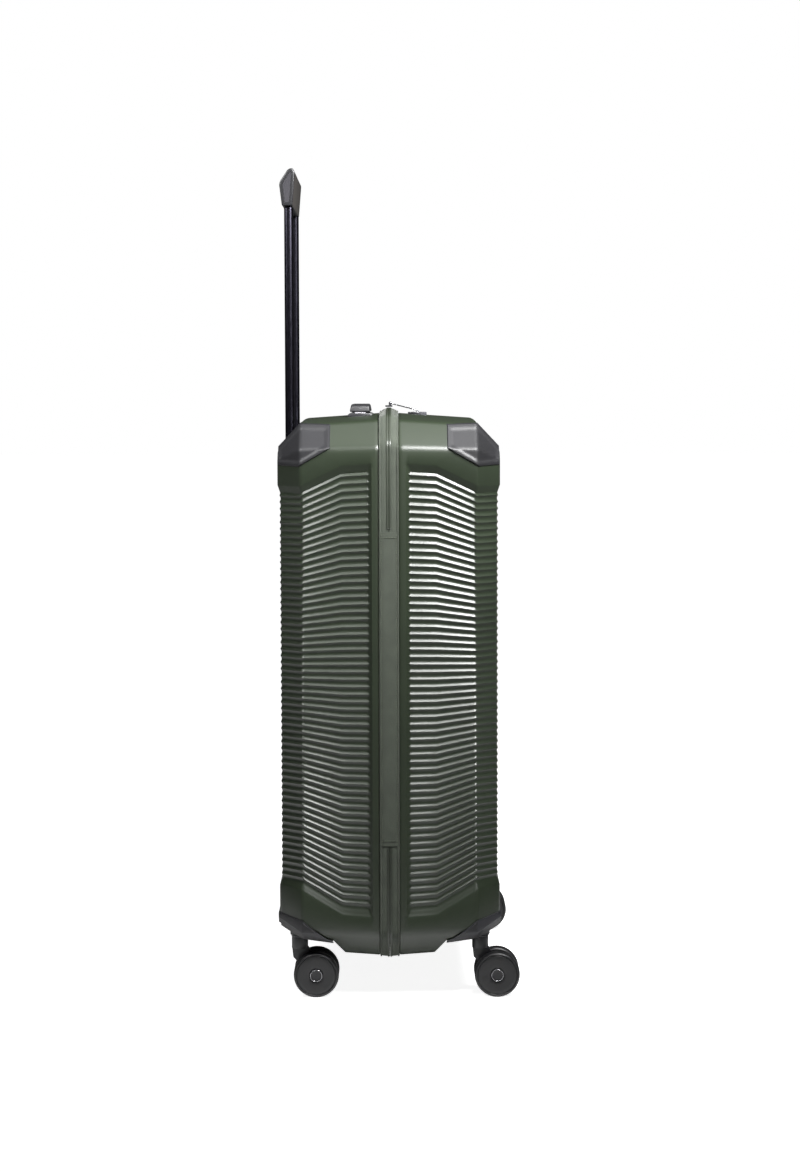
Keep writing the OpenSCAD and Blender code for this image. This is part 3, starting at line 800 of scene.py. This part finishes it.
hemSpots = []
for end, way in ((hingeLow[2], 1), (hingeHigh[2], -1)):
    for across in np.arange(-9 * mm, 9.5 * mm, 2 * mm):
        hemSpots.append((hingeFace - 1.55 * mm, across, end + way * hinge["hem"]))
hemStitches = stitchRow("hinge_hem_stitches", hemSpots, (0.5 * mm, 1.3 * mm, 0.6 * mm))
hemStitches.data.materials.append(finish["thread"])
sideSpots = []
for z in np.arange(hingeLow[2] + 3 * mm, hingeHigh[2] - 3 * mm, hinge["stitch"]):
    for side in (-1, 1):
        sideSpots.append((hingeFace - 0.75 * mm, side * 10.1 * mm, z))
sideStitches = stitchRow("hinge_side_stitches", sideSpots, (0.5 * mm, 0.6 * mm, 2.2 * mm))
sideStitches.data.materials.append(finish["thread"])
for piece in (cover, hemStitches, sideStitches):
    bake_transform(piece)


def lathe(name, profile, centre, steps=64):
    # profile of (along X, radius) points, spun about an axis through centre
    mesh = bpy.data.meshes.new(name)
    points = [(x, 0, r) for x, r in profile]
    mesh.from_pydata(points, [(k, k + 1) for k in range(len(points) - 1)], [])
    piece = bpy.data.objects.new(name, mesh)
    bpy.context.collection.objects.link(piece)
    activate(piece)
    bpy.ops.object.mode_set(mode="EDIT")
    bpy.ops.mesh.select_all(action="SELECT")
    bpy.ops.mesh.spin(steps=steps, angle=2 * math.pi, center=(0, 0, 0), axis=(1, 0, 0))
    bpy.ops.mesh.select_all(action="SELECT")
    bpy.ops.mesh.remove_doubles(threshold=1e-6)
    bpy.ops.mesh.normals_make_consistent(inside=False)
    bpy.ops.object.mode_set(mode="OBJECT")
    piece.location = centre
    return settle(piece)


print("casters")
ring = {"radius": 7.8, "wire": 0.4}
tyreProfile = [(6.2, 3.1), (6.2, 8.6), (6.6, 9.0), (8.2, 9.2), (8.2, 26.6), (8.4, 27.6), (9.0, 28.6),
               (9.9, 29.6),
               (11.2, 30.3), (13, 30.5), (16, 30.5), (19.5, 30.5), (22, 30.3), (23.6, 29.7), (24.7, 28.7),
               (25.1, 27.8), (25.0, 27.2), (24.5, 26.9), (24.2, 26.4), (24.4, 25.9), (24.9, 25.6),
               (25.1, 24.8),
               (24.9, 20), (24.5, 14), (24.3, 9.8), (23.9, 9.1), (22.9, 8.9), (22.6, 8.5), (22.6, 3.1),
               (6.2, 3.1)]
capProfile = [(23.2, 0.0), (23.2, 8.2), (24.6, 8.4), (25.2, 8.2), (25.5, 7.2), (25.3, 6.4), (25.1, 5.6),
              (25.2, 3), (25.3, 0.0)]


def torusX(name, centre, radius, wire):
    bpy.ops.mesh.primitive_torus_add(major_radius=radius, minor_radius=wire, major_segments=64,
                                     minor_segments=10,
                                     rotation=(0, math.pi / 2, 0), location=centre)
    piece = bpy.context.object
    piece.name = name
    settle(piece)
    return smooth(piece, 60)


rightTyre = smooth(lathe("wheel_tyre", [(x * mm, r * mm) for x, r in tyreProfile], (0, 0, 0)), 45)
rightCap = smooth(lathe("wheel_cap", [(x * mm, r * mm) for x, r in capProfile], (0, 0, 0)), 45)
rightRing = torusX("wheel_ring", (25.35 * mm, 0, 0), ring["radius"] * mm, ring["wire"] * mm)
for number in (1, 2, 3, 4):
    low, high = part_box(f"caster_axle_{number}")
    centre = [(a + b) / 2 for a, b in zip(low, high)]
    for side, word in ((-1, "left"), (1, "right")):
        body = f"wheel_{number}_{word}"
        for model, part, material, slot in ((rightTyre, "tyre", "tyre", "wheel_black"),
                                            (rightCap, "cap", "black", "wheel_black"),
                                            (rightRing, "ring", "bright", "bright_steel")):
            copy = mirrored(model, f"{body}_{part}", 0) if side < 0 else moved(model, f"{body}_{part}",
                                                                               (0, 0, 0))
            copy.data.transform(Matrix.Translation(centre))
            nodes = [body] if part == "tyre" else []
            dress(copy, finish[material], body, slot, *nodes)
    fork = refined(f"caster_fork_{number}", 1.6 * mm, 3)
    dress(fork, finish["black"], f"caster_{number}", "wheel_black", f"caster_fork_{number}")
    swivel = (math.copysign(212 * mm, low[0] + high[0]), math.copysign(122 * mm, low[1] + high[1]))
    bpy.ops.mesh.primitive_torus_add(major_radius=11.1 * mm, minor_radius=0.7 * mm, major_segments=56,
                                     minor_segments=8, location=(swivel[0], swivel[1], 80.6 * mm))
    seam = bpy.context.object
    seam.name = f"caster_{number}_seam"
    settle(seam)
    dress(smooth(seam, 60), finish["greyPlastic"], f"caster_{number}", "wheel_black")
for model in (rightTyre, rightCap, rightRing):
    bpy.data.objects.remove(model)


print("trolley")
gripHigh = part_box("trolley_grip_upper")[1]
grip = {
    "half": gripHigh[0],
    "profile": [(130.4, 1067), (144.8, 1067), (148.3, 1095.5), (147, 1100), (137.5, 1114.5), (134, 1117.2),
                (129.5, 1117.2), (126.8, 1112)],
    "rounding": 1.8 * mm,
    "panelInset": 2.4 * mm,
    "panelDepth": 0.7 * mm,
}


def gripForm():
    piece = prism("trolley_grip_body", [(y * mm, z * mm) for y, z in grip["profile"]], -grip["half"],
                  grip["half"])
    activate(piece)
    bpy.ops.object.mode_set(mode="EDIT")
    bpy.ops.mesh.select_all(action="SELECT")
    bpy.ops.mesh.bevel(offset=grip["rounding"], segments=3, profile=0.6)
    bpy.ops.mesh.select_all(action="DESELECT")
    bpy.ops.object.mode_set(mode="OBJECT")
    for face in piece.data.polygons:
        face.select = abs(face.normal.x) > 0.99 and face.area > 1e-4
    bpy.ops.object.mode_set(mode="EDIT")
    bpy.ops.mesh.inset(thickness=grip["panelInset"], depth=0)
    bpy.ops.mesh.inset(thickness=0.3 * mm, depth=-grip["panelDepth"])
    bpy.ops.object.mode_set(mode="OBJECT")
    return piece


gripBody = gripForm()
buttonLow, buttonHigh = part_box("trolley_button")
gap = 0.35 * mm
cut(gripBody, [block("button_pocket", (buttonLow[0] - gap, buttonLow[1] - gap, 1089 * mm),
                     (buttonHigh[0] + gap, buttonHigh[1] + gap, 1130 * mm))])
gripBody.data.materials.clear()
for word in ("black", "gripPanel", "softGrey"):
    gripBody.data.materials.append(finish[word])
for face in gripBody.data.polygons:
    centre = face.center
    atEnd = abs(face.normal.x) > 0.99 and abs(centre.x) < grip["half"] - 0.5 * mm and abs(centre.x) > 100 * mm
    frontFace = face.normal.y < -0.8 and face.area > 2e-4
    face.material_index = 1 if atEnd else 2 if frontFace else 0
smooth(gripBody, 35)
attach(gripBody, "trolley")
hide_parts("trolley_grip_upper", "trolley_grip_lower")
button = block("trolley_button_cap", buttonLow, buttonHigh)
activate(button)
bpy.ops.object.mode_set(mode="EDIT")
bpy.ops.mesh.select_all(action="SELECT")
bpy.ops.mesh.bevel(offset=1.0 * mm, segments=3)
bpy.ops.object.mode_set(mode="OBJECT")
dress(smooth(button, 40), finish["greyPlastic"], "trolley_button", "handle_black", "trolley_button")

tubeLow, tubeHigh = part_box("trolley_inner_tubes")
tubeX = (tubeHigh[0] - 11 * mm)
for side, word in ((-1, "left"), (1, "right")):
    tube = block("trolley_tube_" + word, (side * tubeX - 11 * mm, tubeLow[1], tubeLow[2]),
                 (side * tubeX + 11 * mm, tubeHigh[1], 1068 * mm))
    activate(tube)
    bpy.ops.object.mode_set(mode="EDIT")
    bpy.ops.mesh.select_all(action="DESELECT")
    bpy.ops.object.mode_set(mode="OBJECT")
    for edge in tube.data.edges:
        start, end = (tube.data.vertices[v].co for v in edge.vertices)
        edge.select = abs(start.z - end.z) > 0.1
    bpy.ops.object.mode_set(mode="EDIT")
    bpy.ops.mesh.select_mode(type="EDGE")
    bpy.ops.mesh.bevel(offset=4.6 * mm, segments=6)
    bpy.ops.object.mode_set(mode="OBJECT")
    grooves = []
    for face in (-1, 1):
        y = tubeHigh[1] if face > 0 else tubeLow[1]
        grooves.append(block("groove", (side * tubeX - 2.2 * mm, y - 0.6 * mm, tubeLow[2] - 1 * mm),
                             (side * tubeX + 2.2 * mm, y + 0.6 * mm, 1090 * mm)))
    cut(tube, grooves)
    dress(smooth(tube, 40), finish["anodised"], "trolley", "tube_black",
          *(["trolley_inner_tubes"] if side < 0 else []))
for node, width in (("trolley_cup", 1.0), ("trolley_foot_bracket", 1.5)):
    dress(refined(node, width * mm, 2), finish["black"], "back_half", "inner_plastic", node)


print("carry handles")
handle = {
    "seat": 781.5 * mm, "depth": 39.5 * mm, "span": 88 * mm, "half": 100 * mm,
    "foot": 29 * mm, "head": 25 * mm, "base": 4.5 * mm, "height": 11 * mm,
}


def handleGrip(name):
    # in its own place: X along the grip, Z out from the case; the ends taper and lean in
    h = handle
    profile = [(-h["foot"] / 2, h["base"]), (h["foot"] / 2, h["base"]),
               (h["head"] / 2, h["base"] + h["height"]),
               (-h["head"] / 2, h["base"] + h["height"])]
    piece = prism(name, profile, -h["half"], h["half"])
    activate(piece)
    bpy.ops.object.mode_set(mode="EDIT")
    bpy.ops.mesh.select_all(action="SELECT")
    bpy.ops.mesh.bisect(plane_co=(h["span"] - 14 * mm, 0, 0), plane_no=(1, 0, 0))
    bpy.ops.mesh.select_all(action="SELECT")
    bpy.ops.mesh.bisect(plane_co=(-h["span"] + 14 * mm, 0, 0), plane_no=(1, 0, 0))
    bpy.ops.object.mode_set(mode="OBJECT")
    for vertex in piece.data.vertices:
        if vertex.co.z > h["base"] + 5 * mm and abs(vertex.co.x) > h["half"] - 1 * mm:
            vertex.co.z -= 2.2 * mm
            vertex.co.x *= 0.985
    bevelled(piece, 2.4 * mm, 4, 25)
    return smooth(piece, 40)


def handlePosts(name):
    posts = []
    for side in (-1, 1):
        posts.append(smooth(lathe(name + "_post",
                                  [(-29.85 * mm, 0), (-29.85 * mm, 6.3 * mm), (-27.0 * mm, 6.3 * mm),
                                                   (-26.9 * mm, 4.0 * mm), (5.0 * mm, 4.0 * mm),
                                   (5.0 * mm, 0)],
                                  (0, 0, 0), 32), 40))
        posts[-1].data.transform(Matrix.Rotation(-math.pi / 2, 4, "Y"))
        posts[-1].data.transform(Matrix.Translation((side * handle["span"], 0, 0)))
    return joined(posts, name + "_posts")


def bracketCaps(name):
    # flared foot covers with a light plate let into the middle of each
    feet, plates = [], []
    for side in (-1, 1):
        foot = prism(name + "_foot", [(-16.8 * mm, -4.4 * mm), (16.8 * mm, -4.4 * mm), (16.8 * mm, 1.2 * mm),
                                      (13.5 * mm, 3.4 * mm), (-13.5 * mm, 3.4 * mm), (-16.8 * mm, 1.2 * mm)],
                     side * handle["span"] - 19.9 * mm, side * handle["span"] + 19.9 * mm)
        bevelled(foot, 0.9 * mm, 2, 25)
        feet.append(foot)
        plate = block(name + "_plate", (side * handle["span"] - 19.4 * mm, -7.5 * mm, 2.4 * mm),
                      (side * handle["span"] + 19.4 * mm, 7.5 * mm, 3.95 * mm))
        bevelled(plate, 0.4 * mm, 2, 25)
        plates.append(plate)
    return smooth(joined(feet, name + "_feet"), 40), smooth(joined(plates, name + "_plates"), 40)


onTop = Matrix.Translation((0, handle["depth"], handle["seat"]))
onSide = Matrix.Translation((case["halfWidth"] - 3 * mm, handle["depth"],
                             case["mid"])) @ Matrix.Rotation(math.pi / 2, 4, "Y")
for word, place in (("top", onTop), ("side", onSide)):
    gripPiece = handleGrip(f"{word}_handle_pad")
    posts = handlePosts(f"{word}_handle")
    feet, plates = bracketCaps(f"{word}_handle")
    for piece in (gripPiece, posts, feet, plates):
        piece.data.transform(place)
    dress(gripPiece, finish["softBlack"], f"{word}_handle", "handle_black", f"{word}_handle_grip")
    dress(posts, finish["darkZinc"], f"{word}_handle", "bright_steel")
    dress(feet, finish["black"], "back_half", "handle_black", f"{word}_handle_brackets")
    dress(plates, finish["lightPlastic"], "back_half", "handle_black")


print("lock and zip pullers")
dress(refined("lock_case", 0.7 * mm, 2), finish["darkZinc"], "front_half", "lock_black", "lock_case")
for node, material, slot, width in (("lock_button", "lightPlastic", "lock_black", 0.8),
                                    ("key_cylinder", "bright", "bright_steel", 0.4)):
    dress(refined(node, width * mm, 2), finish[material], node if node != "key_cylinder" else "key_cylinder",
          slot, node)


def dialBarrel(name):
    # a ring with ten shallow flutes between its figures
    count, width = 80, 6 * mm
    rings = []
    for x, back in ((-3.0, 1.1), (-2.6, 0.25), (-1.9, 0), (1.9, 0), (2.6, 0.25), (3.0, 1.1)):
        circle = []
        for k in range(count):
            angle = 2 * math.pi * k / count
            flute = 0.28 * mm * max(0, math.cos(10 * angle + math.pi)) ** 3
            radius = 7.9 * mm - back * mm - flute
            circle.append((x * mm, radius * math.sin(angle), radius * math.cos(angle)))
        rings.append(circle)
    bore = [(x * mm, 1.6 * mm * math.sin(2 * math.pi * k / count),
             1.6 * mm * math.cos(2 * math.pi * k / count))
            for x in (3.0, -3.0) for k in range(count)]
    points = [p for r in rings for p in r] + bore
    loops = len(rings) + 2
    faces = []
    for i in range(loops):
        for k in range(count):
            a, b = i * count, ((i + 1) % loops) * count
            faces.append((a + k, a + (k + 1) % count, b + (k + 1) % count, b + k))
    return smooth(outward(meshPiece(name, points, faces)), 40)


def dialFigures(name):
    figures = []
    for value in range(10):
        bpy.ops.object.text_add(location=(0, 0, 0))
        figure = bpy.context.object
        figure.data.body = str(value)
        figure.data.size = 3.4 * mm
        figure.data.align_x = "CENTER"
        figure.data.align_y = "CENTER"
        figure.data.extrude = 0.12 * mm
        bpy.ops.object.convert(target="MESH")
        figure = bpy.context.object
        figure.data.transform(Matrix.Rotation(-value * 0.2 * math.pi, 4,
                                              "X") @ Matrix.Translation((0, 0, 7.85 * mm)))
        figures.append(figure)
    return joined(figures, name)


barrel = dialBarrel("dial")
figures = dialFigures("figures")
for k in (1, 2, 3):
    low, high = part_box(f"lock_dial_{k}")
    centre = [(a + b) / 2 for a, b in zip(low, high)]
    dress(moved(barrel, f"lock_dial_{k}_barrel", centre), finish["greyPlastic"], f"lock_dial_{k}",
          "dial_plastic", f"lock_dial_{k}")
    dress(moved(figures, f"lock_dial_{k}_figures", centre), finish["lightPlastic"], f"lock_dial_{k}",
          "dial_plastic")
bpy.data.objects.remove(barrel)
bpy.data.objects.remove(figures)
for word in ("a", "b"):
    dress(refined(f"zip_slider_{word}", 0.35 * mm, 2), finish["darkZinc"], f"zip_slider_{word}",
          "bright_steel", f"zip_slider_{word}")
    dress(refined(f"zip_puller_{word}", 0.3 * mm, 2), finish["bright"], f"zip_puller_{word}", "bright_steel",
          f"zip_puller_{word}")


print("interior")
liner = {
    "gap": 6.3 * mm, "edge": 23 * mm, "backFloor": 123.6 * mm, "frontFloor": 137.6 * mm,
    "stepWide": 142 * mm, "stepDeep": 50 * mm, "stepHigh": 121 * mm, "thickness": 0.8 * mm,
    "postWide": 25 * mm, "postDeep": 22 * mm, "topFrom": 740 * mm, "sideFrom": 235 * mm,
    "lockWide": 40 * mm, "lockMiddle": 40 * mm, "lockDeep": 20 * mm,
}


def liningSheet(name, floorY, sign):
    # cloth tub: down the walls from the rim, over a soft bend and across the floor
    columns = []
    for depth in np.concatenate([np.linspace(liner["edge"], floorY - 4 * mm, 22), [floorY - 1.6 * mm]]):
        inset = case["draft"] * (depth - case["bandHalf"]) / (case["ridge"] - case["bandHalf"])
        steep = case["draft"] + case["chamferWide"] * (depth - case["ridge"] + 2.7 * mm) / case["chamferDeep"]
        columns.append((max(inset, steep) + liner["gap"], depth, 1.0))
    last = columns[-1][0]
    columns.append((last + 1.2 * mm, floorY - 0.5 * mm, 1.0))
    for shrink in (0.985, 0.95, 0.9, 0.8, 0.7, 0.6, 0.5, 0.4, 0.3, 0.2, 0.1, 0.03):
        columns.append((last + 2.0 * mm, floorY, shrink))
    rows = np.linspace(0, 1, 46)
    grid = []
    for inset, depth, shrink in columns:
        half = halfOutline(inset, 0, rows, 110 * mm, 725 * mm)
        loop = [(x, z) for x, z in half] + [(-x, z) for x, z in half[::-1]][1:-1]
        column = []
        for k, (x, z) in enumerate(loop):
            x, z = x * shrink, case["mid"] + (z - case["mid"]) * shrink
            fold = (0.5 * mm * (1 + math.sin(31 * x + 17 * z + 40 * depth))
                    + 0.4 * mm * (1 + math.sin(90 * z + 60 * x)))
            y = depth
            if shrink < 1:
                y -= fold * 0.8
            if abs(x) > liner["stepWide"] and y > liner["stepDeep"] and z < liner["stepHigh"]:
                reach = (abs(x) - liner["stepWide"], liner["stepHigh"] - z, y - liner["stepDeep"])
                if reach[0] == min(reach):
                    x = math.copysign(liner["stepWide"], x)
                elif reach[1] == min(reach):
                    z = liner["stepHigh"]
                else:
                    y = liner["stepDeep"]
            column.append((x, y * sign, z))
        grid.append(column)
    n, m = len(grid), len(grid[0])
    points = [p for column in grid for p in column]
    faces = []
    for i in range(n - 1):
        for j in range(m):
            corners = (i * m + j, i * m + (j + 1) % m, (i + 1) * m + (j + 1) % m, (i + 1) * m + j)
            middle = np.mean([points[c] for c in corners], axis=0)
            level = abs(middle[1] - handle["depth"]) < liner["postDeep"]
            nearTop = (sign > 0 and level and middle[2] > liner["topFrom"]
                       and abs(abs(middle[0]) - handle["span"]) < liner["postWide"])
            nearSide = (sign > 0 and level and middle[0] > liner["sideFrom"]
                        and abs(abs(middle[2] - case["mid"]) - handle["span"]) < liner["postWide"])
            nearLock = (sign < 0 and middle[2] > liner["topFrom"] and abs(middle[0]) < liner["lockWide"]
                        and abs(middle[1] + liner["lockMiddle"]) < liner["lockDeep"])
            if not (nearTop or nearSide or nearLock):
                faces.append(corners)
    faces.append(tuple((n - 1) * m + k for k in range(m)))
    piece = outward(meshPiece(name, points, faces))
    area = sum(f.area for f in piece.data.polygons)
    solid = piece.modifiers.new("thickness", "SOLIDIFY")
    solid.thickness = liner["thickness"]
    solid.offset = 0
    applyModifiers(piece)
    outward(piece)
    return smooth(piece, 50), area


for half, floorY, sign in (("back", liner["backFloor"], 1), ("front", liner["frontFloor"], -1)):
    cloth, area = liningSheet(f"{half}_lining_cloth", floorY, sign)
    dress(cloth, finish["lining"], f"{half}_half", "lining_cloth", f"{half}_lining")
    print("lining", half, round(area, 3))


def clothPanel(name, low, high, y, ripple, rows=70, columns=70, thickness=0.7 * mm):
    # a flat panel in X and Z with soft ripples in depth
    points, faces = [], []
    for i, z in enumerate(np.linspace(low[1], high[1], rows)):
        for j, x in enumerate(np.linspace(low[0], high[0], columns)):
            fade = min(1, (x - low[0]) / (30 * mm), (high[0] - x) / (30 * mm), (z - low[1]) / (30 * mm))
            fold = ripple * fade * (0.5 + 0.5 * math.sin(x / (13 * mm)) * math.sin(0.6 + z / (57 * mm)))
            points.append((x, y + fold, z))
    for i in range(rows - 1):
        for j in range(columns - 1):
            a = i * columns + j
            faces.append((a, a + 1, a + columns + 1, a + columns))
    piece = outward(meshPiece(name, points, faces))
    solid = piece.modifiers.new("thickness", "SOLIDIFY")
    solid.thickness = thickness
    solid.offset = 0
    applyModifiers(piece)
    return smooth(outward(piece), 60)


pocketLow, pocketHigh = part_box("front_pocket")
pocket = clothPanel("front_pocket_mesh", (pocketLow[0] + 3 * mm, pocketLow[2] + 3 * mm),
                    (pocketHigh[0] - 3 * mm, pocketHigh[2] - 6 * mm),
                    pocketLow[1] + 0.6 * mm, 0.9 * mm)
dress(pocket, finish["mesh"], "front_half", "pocket_mesh", "front_pocket")
bindingPieces = []
for low, high in (((pocketLow[0], pocketLow[2]), (pocketLow[0] + 10 * mm, pocketHigh[2] - 5 * mm)),
                  ((pocketHigh[0] - 10 * mm, pocketLow[2]), (pocketHigh[0], pocketHigh[2] - 5 * mm)),
                  ((pocketLow[0], pocketLow[2]), (pocketHigh[0], pocketLow[2] + 10 * mm)),
                  ((pocketLow[0], pocketHigh[2] - 15 * mm), (pocketHigh[0], pocketHigh[2]))):
    piece = block("pocket_binding", (low[0], pocketLow[1] + 0.1 * mm, low[1]),
                  (high[0], pocketHigh[1] - 0.05 * mm, high[1]))
    bevelled(piece, 0.7 * mm, 3, 25)
    bindingPieces.append(piece)
binding = dress(joined(bindingPieces, "pocket_binding"), finish["webbing"], "front_half", "pocket_mesh")
smooth(binding, 40)

straps = {"from": 37 * mm, "to": 207 * mm, "half": 12.5 * mm, "tilt": 24, "y": 122.1 * mm}
for side, sideWord in ((-1, "left"), (1, "right")):
    for flip, word in ((-1, "low"), (1, "high")):
        points, faces = [], []
        rows, columns = 46, 7
        for i, along in enumerate(np.linspace(straps["from"], straps["to"], rows)):
            for j, across in enumerate(np.linspace(-1, 1, columns)):
                y = straps["y"] - 0.25 * mm * math.sin(along / (26 * mm)) - 0.15 * mm * across ** 2
                points.append((side * along, y, across * straps["half"]))
        for i in range(rows - 1):
            for j in range(columns - 1):
                a = i * columns + j
                faces.append((a, a + 1, a + columns + 1, a + columns))
        strap = outward(meshPiece(f"strap_{sideWord}_{word}", points, faces))
        solid = strap.modifiers.new("thickness", "SOLIDIFY")
        solid.thickness = 0.9 * mm
        solid.offset = 0
        applyModifiers(strap)
        tilted = Matrix.Rotation(math.radians(side * flip * straps["tilt"]), 4, "Y")
        strap.data.transform(Matrix.Translation((0, 0, case["mid"])) @ tilted)
        smooth(outward(strap), 40)
        dress(strap, finish["webbing"], "back_half", "strap_webbing",
              *(["packing_straps"] if side == flip == 1 else []))
dress(refined("strap_buckle", 1.4 * mm, 3), finish["black"], "back_half", "inner_plastic", "strap_buckle")

for half, band in (("back", backBand), ("front", frontBand)):
    teeth = backCoil if half == "back" else frontCoil
    pipe = backPiping if half == "back" else frontPiping
    around = loopPoints(0, 0, 0, 100)[1]

plainFinish = {
    "back_screws": "darkZinc", "front_screws": "darkZinc", "trolley_outer_tubes": "aluminium",
               "trolley_cover": "greyPlastic",
    "guide_blocks": "greyPlastic", "push_rods": "aluminium", "button_spring": "bright",
    "hinge_cover_back": "band", "hinge_cover_front": "band",
}
for number in range(1, 5):
    plainFinish[f"caster_axle_{number}"] = "bright"
for node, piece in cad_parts.items():
    piece.data.materials.clear()
    piece.data.materials.append(finish[plainFinish.get(node, "black")])


print("studio")
studio = {"floor": 60.0, "overhead": 0.4, "key": 13, "rim": 3.2, "sky": 0.02}
bpy.ops.mesh.primitive_plane_add(size=studio["floor"])
floor = bpy.context.object
floor.name = "floor"
floor.data.materials.append(finish["floor"])


def areaLight(name, spot, aim, size, power, spread):
    light = bpy.data.lights.new(name, "AREA")
    light.shape = "RECTANGLE"
    light.size, light.size_y = size
    light.energy = power
    light.spread = math.radians(spread)
    lamp = bpy.data.objects.new(name, light)
    bpy.context.collection.objects.link(lamp)
    lamp.location = spot
    lamp.rotation_euler = (Vector(aim) - Vector(spot)).to_track_quat("-Z", "Y").to_euler()


areaLight("key", (-0.82, -0.5, 1.46), (-0.24, -0.05, 0.86), (0.7, 0.4), studio["key"], 80)
areaLight("rim", (-0.74, 0.75, 1.44), (-0.22, 0.06, 0.86), (0.5, 0.4), studio["rim"], 80)
overhead = bpy.data.lights.new("overhead", "SUN")
overhead.energy = studio["overhead"]
overhead.angle = math.radians(25)
lamp = bpy.data.objects.new("overhead", overhead)
bpy.context.collection.objects.link(lamp)

# the sky is white to look at, and a dim grey as light, so that the dark case keeps its contrast
world = bpy.data.worlds.new("studio")
bpy.context.scene.world = world
world.use_nodes = True
tree = world.node_tree
background = tree.nodes["Background"]
background.inputs["Color"].default_value = (1, 1, 1, 1)
path = addNode(tree, "ShaderNodeLightPath")
level = addNode(tree, "ShaderNodeMapRange", {"To Min": studio["sky"], "To Max": 1.0},
                {"Value": path.outputs["Is Camera Ray"]})
tree.links.new(level.outputs["Result"], background.inputs["Strength"])

view = {"lens": 76.1, "spot": (-3.5204, -0.0095, 0.81), "down": 4.42, "turn": -0.09, "roll": -0.15}
lens = bpy.data.cameras.new("camera")
lens.lens = view["lens"]
lens.sensor_width = 36
camera = bpy.data.objects.new("camera", lens)
bpy.context.collection.objects.link(camera)
camera.location = view["spot"]
look = Vector((1, math.tan(math.radians(view["turn"])),
               -math.tan(math.radians(view["down"])))).to_track_quat("-Z", "Y").to_matrix()
camera.rotation_euler = (look @ Matrix.Rotation(math.radians(view["roll"]), 3, "Z")).to_euler()
bpy.context.scene.camera = camera
bpy.context.scene.view_settings.view_transform = "Standard"
